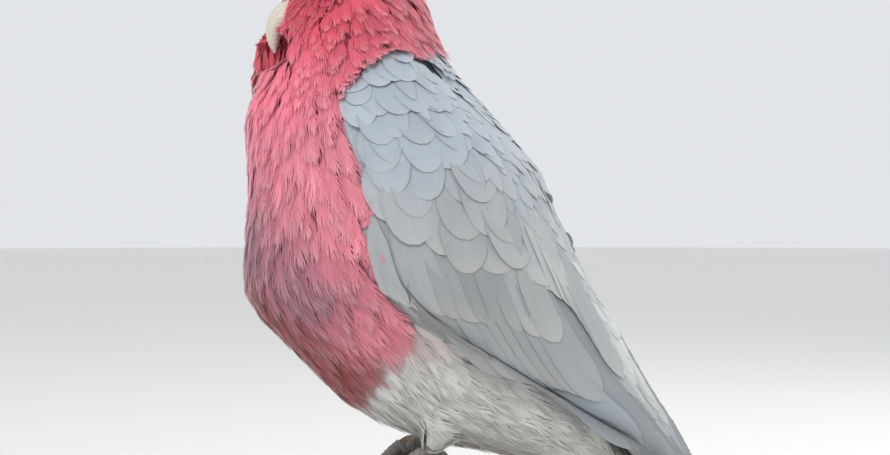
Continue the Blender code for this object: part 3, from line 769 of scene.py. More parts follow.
def scatter(form, wanted, spacing, rng):
    """Evenly mixed places on the wanted faces, none nearer to another than the spacing there."""
    corners = form.points[form.faces]
    edges = np.cross(corners[:, 1] - corners[:, 0], corners[:, 2] - corners[:, 0])
    area = np.linalg.norm(edges, axis=1) / 2 * wanted
    least = spacing[wanted].min()
    tries = int(area.sum() / least**2 * 9)
    chosen = rng.choice(len(area), tries, p=area / area.sum())
    a, b = rng.random(tries), rng.random(tries)
    flip = a + b > 1
    a, b = np.where(flip, 1 - a, a), np.where(flip, 1 - b, b)
    tri = corners[chosen]
    spots = tri[:, 0] + (tri[:, 1] - tri[:, 0]) * a[:, None] + (tri[:, 2] - tri[:, 0]) * b[:, None]
    gaps = spacing[chosen]
    cell = float(spacing[wanted].max())
    grid, kept = {}, []
    cells = np.floor(spots / cell).astype(int).tolist()
    around = [(i, j, k) for i in (-1, 0, 1) for j in (-1, 0, 1) for k in (-1, 0, 1)]
    spot_list, gap_list = spots.tolist(), gaps.tolist()
    for index, (spot, gap, (i, j, k)) in enumerate(zip(spot_list, gap_list, cells)):
        near = False
        for di, dj, dk in around:
            for x, y, z in grid.get((i + di, j + dj, k + dk), ()):
                if (x - spot[0]) ** 2 + (y - spot[1]) ** 2 + (z - spot[2]) ** 2 < gap * gap:
                    near = True
                    break
            if near:
                break
        if not near:
            grid.setdefault((i, j, k), []).append(spot)
            kept.append(index)
    kept = np.array(kept)
    return spots[kept], chosen[kept]


def tinted(colour, rng, spread=0.07):
    """Each feather's own colour: a little lighter or darker than its place, and a share of its own."""
    shade = 1 + rng.normal(0, spread, (len(colour), 1))
    return np.concatenate((np.clip(colour * shade, 0, 1), rng.random((len(colour), 1))), axis=1)


# --- Materials ----------------------------------------------------------------------------------


def node(tree, kind, settings=None, **links):
    """Adds a node with its settings, and links its inputs by name to values or other outputs."""
    made = tree.nodes.new(kind)
    for key, value in (settings or {}).items():
        setattr(made, key, value)
    for key, value in links.items():
        numbered = key[0] == "i" and key[1:].isdigit()
        socket = made.inputs[int(key[1:]) if numbered else key.replace("_", " ")]
        if isinstance(value, bpy.types.NodeSocket):
            tree.links.new(value, socket)
        else:
            socket.default_value = value
    return made


def new_material(name, **values):
    """An empty material with its shader and output, and the shader's own plain values."""
    material = bpy.data.materials.new(name)
    material.use_nodes = True
    tree = material.node_tree
    tree.nodes.clear()
    shader = node(tree, "ShaderNodeBsdfPrincipled")
    for key, value in values.items():
        shader.inputs[key.replace("_", " ")].default_value = value
    tree.links.new(shader.outputs[0], node(tree, "ShaderNodeOutputMaterial").inputs[0])
    return material, tree, shader


def shaded(tree, colour, pattern, low, high, dark, light):
    """The colour from dark to light, as the pattern goes from low to high."""
    shade = node(
        tree, "ShaderNodeMapRange", Value=pattern, From_Min=low, From_Max=high, To_Min=dark, To_Max=light
    )
    mix = {"data_type": "RGBA", "blend_type": "MULTIPLY"}
    return node(tree, "ShaderNodeMix", mix, i0=1.0, i6=colour, i7=shade.outputs[0]).outputs[2]


def barbed_feather(name, streaks, contrast, root_painted_shade, tip_pale, edge, sheen, rough, height, soft):
    """Keratin vane: fine barbs slant from the shaft to the edge, with painted shade at the root and along the
    edge, and pale at the tip.
    """
    material, tree, shader = new_material(
        name, Roughness=rough, Specular_IOR_Level=0.28, Sheen_Weight=sheen, Sheen_Roughness=0.5,
        Subsurface_Weight=soft, Subsurface_Scale=1.5 * MM, Subsurface_Radius=(1.0, 0.9, 0.9),
    )
    multiply, subtract = {"operation": "MULTIPLY"}, {"operation": "SUBTRACT"}
    tint = node(tree, "ShaderNodeAttribute", {"attribute_name": "tint"})
    place = node(tree, "ShaderNodeUVMap", {"uv_map": "vane"})
    split = node(tree, "ShaderNodeSeparateXYZ", i0=place.outputs[0])
    across, along = split.outputs[0], split.outputs[1]
    centred = node(tree, "ShaderNodeMath", subtract, i0=across, i1=0.5)
    off_shaft = node(tree, "ShaderNodeMath", {"operation": "ABSOLUTE"}, i0=centred.outputs[0])
    up_shaft = node(tree, "ShaderNodeMath", multiply, i0=along, i1=streaks * 0.22)
    sideways = node(tree, "ShaderNodeMath", multiply, i0=off_shaft.outputs[0], i1=streaks)
    slant = node(tree, "ShaderNodeMath", subtract, i0=up_shaft.outputs[0], i1=sideways.outputs[0])
    slow = node(tree, "ShaderNodeMath", multiply, i0=along, i1=1.3)
    own = node(tree, "ShaderNodeMath", multiply, i0=tint.outputs["Alpha"], i1=40.0)
    barb_at = node(tree, "ShaderNodeCombineXYZ", i0=slant.outputs[0], i1=slow.outputs[0], i2=own.outputs[0])
    streak = node(tree, "ShaderNodeTexNoise", Vector=barb_at.outputs[0], Scale=1.0, Detail=2.0)
    colour = shaded(tree, tint.outputs[0], streak.outputs[0], 0.3, 0.7, 1 - contrast, 1 + contrast * 0.5)
    # Painted shade: each vane darkens towards its root, where it lies under the feather above.
    colour = shaded(tree, colour, along, 0.1, 0.7, root_painted_shade, 1.0)
    # Painted shade: the vane darkens along its edge, as a line of shade under the overlapping feather.
    colour = shaded(tree, colour, off_shaft.outputs[0], 0.43, 0.49, 1.0, 1 - edge)
    tip = node(tree, "ShaderNodeMapRange", Value=along, From_Min=0.72, From_Max=1.0, To_Max=tip_pale)
    colour = node(
        tree, "ShaderNodeMix", {"data_type": "RGBA"}, i0=tip.outputs[0], i6=colour, i7=(0.86, 0.80, 0.80, 1)
    ).outputs[2]
    tree.links.new(colour, shader.inputs["Base Color"])
    bump = node(tree, "ShaderNodeBump", Strength=0.5, Distance=height, Height=streak.outputs[0])
    tree.links.new(bump.outputs[0], shader.inputs["Normal"])
    return material


# How each plumage looks: how close and how strong its barbs are, the painted shade at its root, the pale of
# its tip, the painted shade line along its edge, its sheen, roughness and softness, and how high the barbs
# stand.
PLUMAGE = {
    # Soft body feathers: loose barbs that catch the light, with painted shade deepening the red towards the
    # root.
    "rose_plumage": {
        "name": "barbed_keratin_rose", "streaks": 34.0, "contrast": 0.19, "root_painted_shade": 0.87,
        "tip_pale": 0.16, "edge": 0.0, "sheen": 0.30, "rough": 0.75, "height": 0.2 * MM, "soft": 0.2,
    },
    # Smooth coverts: close barbs that read as faint slanting lines.
    "grey_plumage": {
        "name": "barbed_keratin_grey", "streaks": 44.0, "contrast": 0.08, "root_painted_shade": 0.94,
        "tip_pale": 0.10, "edge": 0.04, "sheen": 0.12, "rough": 0.6, "height": 0.08 * MM, "soft": 0.06,
    },
    # Pale feathers of the crown and crest, with soft barbs.
    "crest_plumage": {
        "name": "barbed_keratin_crown", "streaks": 22.0, "contrast": 0.14, "root_painted_shade": 0.85,
        "tip_pale": 0.15, "edge": 0.0, "sheen": 0.25, "rough": 0.7, "height": 0.2 * MM, "soft": 0.3,
    },
}


@functools.cache
def plumage(slot):
    """The surface of one sort of plumage."""
    return barbed_feather(**PLUMAGE[slot])


@functools.cache
def tinted_surface(name, rough, coat=0.0, grain=0.0, scale=400.0, spec=0.5):
    """A surface whose colour is painted on its vertices, with a fine bump of its own grain."""
    material, tree, shader = new_material(
        name, Roughness=rough, Coat_Weight=coat, Coat_Roughness=0.05, Specular_IOR_Level=spec
    )
    tint = node(tree, "ShaderNodeAttribute", {"attribute_name": "tint"})
    where = node(tree, "ShaderNodeTexCoord")
    speck = node(tree, "ShaderNodeTexNoise", Vector=where.outputs["Object"], Scale=scale, Detail=4.0)
    colour = shaded(tree, tint.outputs[0], speck.outputs[0], 0.3, 0.7, 0.86, 1.08)
    tree.links.new(colour, shader.inputs["Base Color"])
    if grain:
        bump = node(tree, "ShaderNodeBump", Strength=0.6, Distance=grain, Height=speck.outputs[0])
        tree.links.new(bump.outputs[0], shader.inputs["Normal"])
    return material


# --- Skin and coat ------------------------------------------------------------------------------


def tail_line():
    """The root and the tip of the tail, on its middle line."""
    low, high = corners_of("tail")
    root = np.array((low[0] + 4 * MM, 0, high[2] - 4 * MM))
    return root, np.array((high[0] - 3 * MM, 0, low[2] + 4 * MM))


# How deep the skin lies under the outline, in mm, where that isn't the coat's own depth.
SKIN_DEPTHS = {"head": 2.2, "crest": 1.6, "tail": 6.0, "wing_left": 2.2, "wing_right": 2.2}
# The same beside parts without a coat.
BARE_DEPTHS = {"eye_left": 0.3, "eye_right": 0.3, "cere": 3.2}
# How many times each depth is evened out with those around it.
SKIN_ROUNDS = 12


def make_skin():
    """One skin under the whole coat, sunk by the coat's depth and less where the form is thin."""
    form = outline()
    depths = np.full(len(FLESH), bpy.context.scene.galah_plumage.coat_depth)
    for name, level in SKIN_DEPTHS.items():
        depths[PART[name]] = level * MM
    depth = depths[form.part]
    for name, level in BARE_DEPTHS.items():
        near = smooth(1 - (distances(node_tree(name), form.points, 0.02) - 1 * MM) / (5 * MM))
        depth = depth * (1 - near) + level * MM * near
    starts = form.points - form.normals * 0.2 * MM
    for index, (start, normal) in enumerate(zip(starts.tolist(), form.normals.tolist())):
        hit = form.tree.ray_cast(start, [-value for value in normal], 0.03)
        if hit[0]:
            depth[index] = min(depth[index], 0.46 * hit[3])
    first, second = np.concatenate((form.faces[:, :2], form.faces[:, 1:], form.faces[:, ::2])).T
    size = len(depth)
    number = np.bincount(first, minlength=size) + np.bincount(second, minlength=size)
    for _ in range(SKIN_ROUNDS):
        total = np.bincount(first, depth[second], size) + np.bincount(second, depth[first], size)
        around = total / number
        depth = np.minimum(depth, around) * 0.5 + around * 0.5
    points = form.points - form.normals * depth[:, None]
    root, tip = tail_line()
    share = (points - root) @ (tip - root) / ((tip - root) @ (tip - root))
    on_tail = form.part == PART["tail"]
    points = points - unit(tip - root) * (9 * MM * smooth((share - 0.75) / 0.25) * on_tail)[:, None]
    mesh = mesh_from("skin", points, form.faces)
    # Painted shade: the skin takes a darker copy of the coat's colours, so that the gaps between feathers
    # read as shade; less dark on the wings.
    shade = np.where(np.isin(form.part, WINGS), 0.95, 0.74)[:, None]
    colour = markings(form.points, form.part) * shade
    paint(mesh, np.concatenate((colour, np.full((len(colour), 1), 0.5)), axis=1))
    face_side = np.where(points[form.faces][:, :, 1].mean(axis=1) < 0, -1.0, 1.0)
    corner_side = np.repeat(face_side, 3)
    map_corners(mesh, "OFBake", unwrap(points[form.faces.ravel()], corner_side))
    surface = tinted_surface("thin_skin_and_down", 0.8, grain=0.2 * MM, scale=900.0)
    keep("skin", mesh, surface, "rose_plumage", *FLESH)


def on_wings(form, path):
    """Which stations of each shaft lie on a wing, or past the first one that does."""
    flat = path.reshape(-1, 3)
    nearest = form.faces[[form.tree.find_nearest(place)[2] for place in flat.tolist()]][:, 0]
    over = np.isin(form.part[nearest], WINGS) | inside_wing_line(flat)
    return np.maximum.accumulate(over.reshape(path.shape[:2]), axis=1)


# How far a feather rises over the top of a wing, and how far it goes under the lower edge.
WING_RISE = 1.5 * MM
WING_TUCK = 4.6 * MM


def tucked(form, path):
    """How far each shaft rises over the top of a wing, or goes under its lower edge."""
    over_wing = on_wings(form, path).astype(float)
    over_wing[:, 1:] = (over_wing[:, :-1] + over_wing[:, 1:]) / 2
    high = smooth((path[:, :, 2] - 262 * MM) / (18 * MM))
    return over_wing * (WING_RISE * high - WING_TUCK * (1 - high))


def clear_of_bare_parts(places, gap):
    """True where a root is clear of the bill, the cere and the eyes."""
    clear = np.ones(len(places), bool)
    for name in ("bill_upper", "cere", "eye_ring_left", "eye_ring_right", "bill_lower"):
        clear &= distances(node_tree(name), places, 0.02) > gap
    return clear


# The share of its size that a body feather keeps by the throat.
THROAT_SHARE = 0.62
# In mm: the level of the nape's middle, and of the lower edge of the rose that falls over the mantle.
NAPE_LEVEL = 318
SHAWL_EDGE = 297
# In mm: how far past a wing's edge a body feather and a mantle feather end, and the shortest that is kept.
PAST_WING = 2.5
MANTLE_PAST_WING = 7.0
SHORTEST = 4.5


def make_body_coat():
    """Rose and grey contour feathers of the neck, trunk and thighs."""
    settings = bpy.context.scene.galah_plumage
    rng = np.random.default_rng(11)
    form = outline()
    part = form.face_parts
    wanted = np.isin(part, [PART[name] for name in ("neck", "trunk", "thigh_left", "thigh_right")])
    size = THROAT_SHARE + (1 - THROAT_SHARE) * smooth((312 * MM - form.centres[:, 2]) / (70 * MM))
    roots, faces = scatter(form, wanted, settings.breast_spacing * size, rng)
    order = np.argsort(-roots[:, 2])
    roots, faces = roots[order], faces[order]
    scale = size[faces] * rng.uniform(0.85, 1.15, len(roots))
    share, vent = greyness(roots)
    colour = markings(roots, part[faces])
    loose = Cut(
        barbs=30, blunt=0.5, vane_end=0.8, vane_width=0.6, bend=80 * MM, crown=0.015, lift=0.1 * MM,
    )
    downy = Cut(barbs=26, blunt=0.5, vane_end=0.8, vane_width=0.6, lift=1.0 * MM, ragged=0.08)
    close = Cut(sink=1.8 * MM, bend=85 * MM, crown=0.01, blunt=0.45)
    groups = (
        ("coat_rose", share < 0.5, loose, 1.0, "rose_plumage"),
        ("coat_vent", (share >= 0.5) & (vent >= 0.5), downy, 1.0, "grey_plumage"),
        ("coat_mantle", (share >= 0.5) & (vent < 0.5), close, 0.75, "grey_plumage"),
    )
    for name, chosen, cut, grow, slot in groups:
        starts = roots[chosen]
        sway = rng.normal(0, 0.13, len(starts))
        lengths = settings.breast_length * grow * scale[chosen]
        shares = cut.shares
        path, normal = comb(form, starts, body_lie, lengths, shares, sway)
        reach = np.where(on_wings(form, path), 1.0, 0.0)
        free = 1 - (reach * np.diff(np.append(shares, 1.0))).sum(axis=1)
        high = smooth((starts[:, 2] - 285 * MM) / (15 * MM))
        beyond = (PAST_WING - 0.6 * high) * MM if name != "coat_mantle" else MANTLE_PAST_WING * MM
        lengths = np.minimum(lengths, lengths * free + beyond)
        level = starts[:, 2]
        shawl = (behind(starts) > -3 * MM) & (level > (SHAWL_EDGE - 1) * MM) & (share[chosen] < 0.5)
        hang = np.maximum((level - SHAWL_EDGE * MM) * 1.1, 7 * MM)
        lengths = np.where(shawl, np.minimum(lengths, hang), lengths)
        kept = (lengths > SHORTEST * MM) | (free > 0.95)
        starts, sway, lengths = starts[kept], sway[kept], lengths[kept]
        own_scale, own_colour = scale[chosen][kept], colour[chosen][kept]
        path, normal = comb(form, starts, body_lie, lengths, shares, sway)
        half = settings.breast_half * grow * own_scale * np.clip(lengths / (16 * MM), 0.5, 1)
        nape = smooth(1 - np.abs(starts[:, 2] - NAPE_LEVEL * MM) / (16 * MM))
        nape = nape * smooth(behind(starts) / (8 * MM) + 0.4)
        lift = tucked(form, path) + 1.6 * MM * nape[:, None] * shares**2
        if name == "coat_mantle":
            over = on_wings(form, path) * 1.0 * MM
            lift = np.where(inside_wing_line(starts)[:, None], -1.6 * MM, over)
        coat = Coat()
        feather(coat, cut, path, normal, half, tinted(own_colour, rng, 0.05), rng, lift)
        coat.finish(name, slot)


def make_head_coat():
    """The small feathers of the face and crown, shortest by the bill and the eyes."""
    settings = bpy.context.scene.galah_plumage
    rng = np.random.default_rng(23)
    form = outline()
    centre, *_, up = head_axes()
    part = form.face_parts
    away = np.linalg.norm(form.centres - middle("cere"), axis=1)
    size = 0.62 + 0.5 * smooth((away - 10 * MM) / (30 * MM))
    roots, faces = scatter(form, part == PART["head"], settings.head_spacing * size, rng)
    clear = clear_of_bare_parts(roots, 0.7 * MM)
    roots, faces = roots[clear], faces[clear]
    order = np.argsort(roots[:, 1])
    roots, faces = roots[order], faces[order]
    colour = markings(roots, part[faces])
    eye_gaps = [np.linalg.norm(roots - middle("eye_" + name), axis=1) for name, _ in SIDES]
    eye_gap = np.minimum(*eye_gaps)
    lengths = settings.head_length * size[faces] * rng.uniform(0.85, 1.15, len(roots))
    lengths *= 0.5 + 0.5 * smooth((eye_gap - 7 * MM) / (9 * MM))
    height = (roots - centre) @ up
    pale = height + rng.normal(0, 3.5, len(roots)) * MM > 9 * MM
    cut = Cut(
        stations=5, blunt=0.4, bend=26 * MM, thick=0.2 * MM, sink=1.3 * MM, lift=0.1 * MM, vane_end=0.7,
        vane_width=0.6, barbs=11, barb_rings=2, barb_half=0.16 * MM, ragged=0.07,
    )
    for name, chosen, slot in (("coat_face", ~pale, "rose_plumage"), ("coat_crown", pale, "crest_plumage")):
        sway = rng.normal(0, 0.14, chosen.sum())
        long = lengths[chosen]
        path, normal = comb(form, roots[chosen], body_lie, long, cut.shares, sway)
        coat = Coat()
        full = 0.9 * MM * smooth(1 - (eye_gap[chosen] - 6 * MM) / (7 * MM))[:, None] * cut.shares
        feather(coat, cut, path, normal, long * 0.2, tinted(colour[chosen], rng, 0.05), rng, full)
        coat.finish(name, slot)


def make_beard():
    """The long loose feathers of the far cheek, which hang beside the tip of the bill."""
    settings = bpy.context.scene.galah_plumage
    rng = np.random.default_rng(29)
    form = outline()
    x, y, z = (form.centres / MM).T
    wanted = (x < -102) & (z > 300) & (z < 319) & (y > 2) & (y < 22)
    wanted &= form.face_parts <= PART["neck"]
    roots, faces = scatter(form, wanted, np.full(len(wanted), 1.9 * MM), rng)
    kept = roots[:, 2] < rng.uniform(308, 320, len(roots)) * MM
    roots, faces = roots[kept], faces[kept]
    normal = unit(form.normals[form.faces[faces]].mean(axis=1))
    cut = Cut(
        vane_end=0.8, vane_width=0.6, barbs=16, barb_half=0.2 * MM, bend=26 * MM, thick=0.2 * MM, ragged=0.09,
    )
    shares = cut.shares
    count = len(roots)
    way = np.array((0.0, 0, -1)) + normal * 0.12 + rng.normal(0, 0.06, (count, 3))
    lengths = rng.uniform(9, 15, count) * MM
    path = roots[:, None] + (unit(way) * lengths[:, None])[:, None] * shares[:, None]
    path = path + normal[:, None] * (1.6 * MM * np.sin(shares * 2.6))[:, None]
    colour = np.broadcast_to(np.array(settings.beard), (count, 3))
    coat = Coat()
    normals = np.broadcast_to(normal[:, None], path.shape)
    feather(coat, cut, path, normals, np.full(count, 1.9 * MM), tinted(colour, rng, 0.12), rng)
    coat.finish("coat_beard", "rose_plumage")


def make_crest():
    """The folded crest: narrow pale feathers that lie back over the crown."""
    rng = np.random.default_rng(31)
    form = outline()
    _, ahead, _, up = head_axes()
    part = form.face_parts
    roots, faces = scatter(form, part == PART["crest"], np.full(len(part), 2.6 * MM), rng)
    cut = Cut(barbs=14, sink=1.2 * MM, lift=0.8 * MM, vane_end=0.9, vane_width=0.75, bend=26 * MM)
    back = -ahead + 0.12 * up

    def lie(places):
        """Back over the crown, at every place."""
        return np.broadcast_to(unit(back), places.shape)

    sway = rng.normal(0, 0.06, len(roots))
    lengths = rng.uniform(15, 24, len(roots)) * MM
    path, normal = comb(form, roots, lie, lengths, cut.shares, sway)
    coat = Coat()
    colour = markings(roots, part[faces])
    feather(coat, cut, path, normal, np.full(len(roots), 2.3 * MM), tinted(colour, rng, 0.05), rng)
    coat.finish("coat_crest", "crest_plumage")


# --- Wings and tail -----------------------------------------------------------------------------

# Lines of covert tips over the folded wing, from its front edge to its rear, x and z in mm.
FIRST_TIPS = ((-68, 278), (-62, 287), (-53, 295), (-43, 298), (-34, 295))
LAST_TIPS = ((-50, 212), (-34, 217), (-11, 204), (9, 205), (27, 192))
# In mm, the half width and the length of a covert: of the first row, and what the last row has more.
COVERT_HALF = (6.2, 5.0)
COVERT_LENGTH = (16, 20)
# The shortest covert that is kept, in mm.
SHORTEST_COVERT = 8
# How far each vane is turned about its shaft, in radians, so that it laps over the next one.
COVERT_TURN = 0.03
FLIGHT_TURN = 0.045


def on_wing(name, side, places):
    """Places of the wing's outer face over points of the upright plane, in metres."""
    tree = wing_sheet(name, side).tree
    found = []
    for x, z in places:
        start = Vector((x, side * 0.2, z))
        hit = tree.ray_cast(start, Vector((0, -side, 0)))
        if hit[0] is None:
            hit = tree.find_nearest(Vector((x, side * 0.05, z)))
        found.append(tuple(hit[0]))
    return np.array(found)


def each_wing(seed):
    """For each wing its name, side and outer face, its own random draws and an empty coat."""
    for name, side in SIDES:
        yield name, side, wing_sheet(name, side), np.random.default_rng(seed), Coat()


def curve_through(points, shares):
    """Points at shares along a smooth line through a few points."""
    table = np.array(points, float)
    place = np.asarray(shares) * (len(table) - 1)
    low = np.clip(place.astype(int), 0, len(table) - 2)
    part = (place - low)[:, None]
    padded = np.concatenate((2 * table[:1] - table[1:2], table, 2 * table[-1:] - table[-2:-1]))
    a, b, c, d = (padded[low + step] for step in range(4))
    bend, twist = 2 * a - 5 * b + 4 * c - d, 3 * b - a - 3 * c + d
    return 0.5 * (2 * b + (c - a) * part + bend * part**2 + twist * part**3)


def make_coverts():
    """Rows of rounded coverts, small at the shoulder and long above the flight feathers."""
    rows = 8
    cut = Cut(
        sink=2.0 * MM, sink_power=1.3, lift=0.0, dip=0.1 * MM, stations=9, blunt=0.5, crown=0.01,
        bend=120 * MM, thick=0.15 * MM,
    )
    for name, side, form, rng, coat in each_wing(41):
        for row in range(rows):
            part = (row / (rows - 1)) ** 1.15
            line = np.array(FIRST_TIPS) * (1 - part) + np.array(LAST_TIPS) * part
            run = np.linalg.norm(np.diff(line, axis=0), axis=1).sum()
            half = COVERT_HALF[0] + COVERT_HALF[1] * part
            number = max(3, round(run / (half * 1.35)))
            inset = 0.85 * half / run
            shares = (np.arange(number) + (0.55 if row % 2 else 0.1)) / number
            shares = inset + (1 - inset) * np.clip(shares + rng.normal(0, 0.02, number), 0, 1)
            tips = curve_through(line, shares) * MM + rng.normal(0, 1.0 * MM, (number, 2))
            spots = on_wing(name, side, tips)
            halves = half * MM * rng.uniform(0.85, 1.2, number)
            length = COVERT_LENGTH[0] + COVERT_LENGTH[1] * part
            lengths = length * MM * rng.uniform(0.92, 1.1, number)
            sway = rng.normal(0, 0.03, number)
            shares = cut.shares
            path, normal = comb(form, spots, wing_lie, lengths, shares, sway, True)
            outside = ~inside_wing_line(path.reshape(-1, 3)).reshape(path.shape[:2])
            outside &= path[:, :, 2] > 240 * MM
            inner = 1 - (outside * np.diff(np.append(shares, 1.0))).sum(axis=1)
            lengths = lengths * inner + 2 * MM
            kept = lengths > SHORTEST_COVERT * MM
            spots, halves, lengths, sway = spots[kept], halves[kept], lengths[kept], sway[kept]
            path, normal = comb(form, spots, wing_lie, lengths, shares, sway, True)
            tint = tinted(grey(path[:, -1]), rng, 0.03)
            drop = np.full(path.shape[:2], 0.55 * part * MM)
            feather(coat, cut, path, normal, halves, tint, rng, drop, -side * COVERT_TURN)
        coat.finish("coat_coverts_" + name, "grey_plumage")


# Tips of the scapulars, in lines beside the rear edge of the folded wing, x and z in mm.
SCAPULAR_TIPS = ((-36, 283), (-14, 262), (6, 238), (22, 212), (36, 186))
# The way out over the rear edge of a folded wing.
REARWARD = np.array((0.82, 0, 0.57))


def make_scapulars():
    """Narrow pointed feathers beside the back, laid over the rear of each wing."""
    lines, number = 4, 11
    cut = Cut(
        sink=2.0 * MM, sink_power=1.6, lift=0.3 * MM, stations=10, blunt=0.35, round=1.8, fullness=0.7,
    )
    for name, side, form, rng, coat in each_wing(43):
        for line in range(lines):
            shares = (np.arange(number) + 0.5 * (line % 2) + 0.2) / (number + 0.5)
            tips = curve_through(SCAPULAR_TIPS, shares) + REARWARD[::2] * (line * 6.5 - 6)
            tips = tips * MM + rng.normal(0, 1.2 * MM, (number, 2))
            spots = on_wing(name, side, tips)
            lengths = (22 + 12 * shares) * MM * rng.uniform(0.9, 1.12, number)
            sway = rng.normal(0, 0.07, number)
            path, normal = comb(form, spots, wing_lie, lengths, cut.shares, sway, True)
            halves = (4.4 + 1.6 * shares) * MM * rng.uniform(0.85, 1.15, number)
            feather(coat, cut, path, normal, halves, tinted(grey(path[:, -1]), rng, 0.05), rng)
        coat.finish("coat_scapulars_" + name, "grey_plumage")


# Tips of the flight feathers, x and z in mm: the secondaries from the front edge, then the primaries.
SECONDARY_TIPS = ((-42, 188), (-22, 173), (2, 162), (20, 156), (31, 153), (44, 147))
PRIMARY_TIPS = ((40, 138), (60, 125), (82, 102), (98, 84), (108, 71))
STRIP_TIPS = ((-45, 194), (-33, 189), (-15, 184), (4, 181), (24, 174))
TERTIAL_TIPS = ((22, 196), (34, 186), (44, 172), (54, 156))


def make_flight_feathers():
    """The long feathers of each folded wing, the inner ones over the outer ones."""
    # For each sort its tips, how many, and in mm the shortest and longest, half a width and the level.
    groups = (
        ("primaries", PRIMARY_TIPS, 12, (104, 168), 8.0, -0.75),
        ("secondaries", SECONDARY_TIPS, 13, (50, 104), 8.4, -0.15),
        ("strips", STRIP_TIPS, 12, (40, 48), 6.4, 0.3),
        ("tertials", TERTIAL_TIPS, 8, (48, 96), 5.6, 0.5),
    )
    cut = Cut(
        sink=1.8 * MM, sink_power=4.0, lift=0.0, stations=24, blunt=0.84, crown=0.01, bend=120 * MM,
        quill=0.4, thick=0.24 * MM,
    )
    for name, side, form, rng, coat in each_wing(47):
        for sort, line, number, (shortest, longest), half, level in groups:
            shares = np.linspace(0, 1, number)
            tips = curve_through(line, shares) * MM
            spots = on_wing(name, side, tips)
            lengths = (shortest + (longest - shortest) * shares) * MM
            path, _ = comb(form, spots, wing_lie, lengths, cut.shares, np.zeros(number), True)
            path, normal = form.settle(relaxed(path, 40).reshape(-1, 3))
            path = relaxed(path.reshape(number, -1, 3), 4)
            normal = unit(relaxed(normal.reshape(number, -1, 3), 60))
            order = shares if sort == "primaries" else 1 - shares
            drop = np.broadcast_to(((level - 0.45 * order) * MM)[:, None], path.shape[:2])
            tint = tinted(grey(path[:, -3]), rng, 0.05)
            turn = FLIGHT_TURN * (side if sort == "primaries" else -side)
            feather(coat, cut, path, normal, np.full(number, half * MM), tint, rng, drop, turn)
        coat.finish("coat_flight_" + name, "grey_plumage")


def make_inner_wings():
    """Narrow feathers along the rear edge of each folded wing, which shows from behind."""
    whole = outline()
    facing = whole.normals[whole.faces].mean(axis=1)
    cut = Cut(sink=0.8 * MM, lift=0.1 * MM, stations=10, blunt=0.6, crown=0.01, bend=40 * MM, quill=0.5)
    for name, side in SIDES:
        rng = np.random.default_rng(61)
        rear = (facing @ REARWARD > 0.25) & (side * facing[:, 1] < 0.75)
        chosen = rear & (whole.face_parts == PART["wing_" + name])
        form = Form(whole.points, whole.normals, whole.faces[chosen], whole.part)
        outer = side * whole.points[form.faces][:, :, 1].mean(axis=1) > 15 * MM
        roots, _ = scatter(form, outer, np.full(len(form.faces), 5.0 * MM), rng)
        lengths = rng.uniform(24, 34, len(roots)) * MM
        sway = rng.normal(0, 0.03, len(roots))
        path, normal = comb(form, roots, wing_lie, lengths, cut.shares, sway)
        normal = unit(relaxed(normal, 20))
        halves = rng.uniform(2.6, 3.6, len(roots)) * MM
        coat = Coat()
        feather(coat, cut, relaxed(path, 6), normal, halves, tinted(grey(roots), rng, 0.04), rng)
        coat.finish("coat_rear_wing_" + name, "grey_plumage")


def make_tail():
    """Twelve tail feathers, the middle pair on top and the outer ones stepped under it."""
    rng = np.random.default_rng(53)
    root, tip = tail_line()
    along = unit(tip - root)
    up = np.array((-along[2], 0, along[0]))
    pairs = 6
    cut = Cut(sink=0, lift=0, stations=22, blunt=0.86, crown=0.06, bend=200 * MM, thick=0.4 * MM, quill=0.5)
    shares = cut.shares
    coat = Coat()
    paths, normals = [], []
    for pair in range(pairs):
        for side in (-1, 1):
            reach = side * (0.9 + pair * 3.7) * MM
            stack = (4.4 - 3.0 * shares) * (1 - 0.36 * pair) * MM - (0.25 * MM if side > 0 else 0)
            length = np.linalg.norm(tip - root) * (1 - 0.004 * pair**1.5)
            path = root + along * (shares * length)[:, None]
            path = path + np.array((0, 1, 0)) * (reach * (0.35 + 0.65 * shares))[:, None]
            path = path + up * stack[:, None]
            paths.append(path)
            lean = np.array((0, 1, 0)) * side * 0.05 * pair
            normals.append(np.broadcast_to(unit(up + lean), path.shape))
    count = len(paths)
    settings = bpy.context.scene.galah_plumage
    tint = tinted(np.broadcast_to(np.array(settings.tail), (count, 3)), rng, 0.04)
    feather(coat, cut, np.stack(paths), np.stack(normals), np.full(count, 8.4 * MM), tint, rng)
    coat.finish("coat_tail", "grey_plumage")


# --- Head parts and feet ------------------------------------------------------------------------


def fine_piece(name, nodes, cell, passes, surface, slot, colour, shape=None):
    """A fine smooth piece over one or more nodes, shaped and coloured by a function of its points."""
    mesh = fused(nodes, cell, passes)
    points = read(mesh.vertices, "co", 3).astype(float)
    normals = read(mesh.vertices, "normal", 3).astype(float)
    tint = np.broadcast_to(np.append(np.array(colour), 1.0), (len(points), 4)).copy()
    if shape:
        points, tint[:, :3] = shape(points, normals, tint[:, :3])
        mesh.vertices.foreach_set("co", points.astype(np.float32).ravel())
    paint(mesh, tint)
    mesh.shade_smooth()
    mesh.name = name
    keep(name, mesh, surface, slot, *nodes)


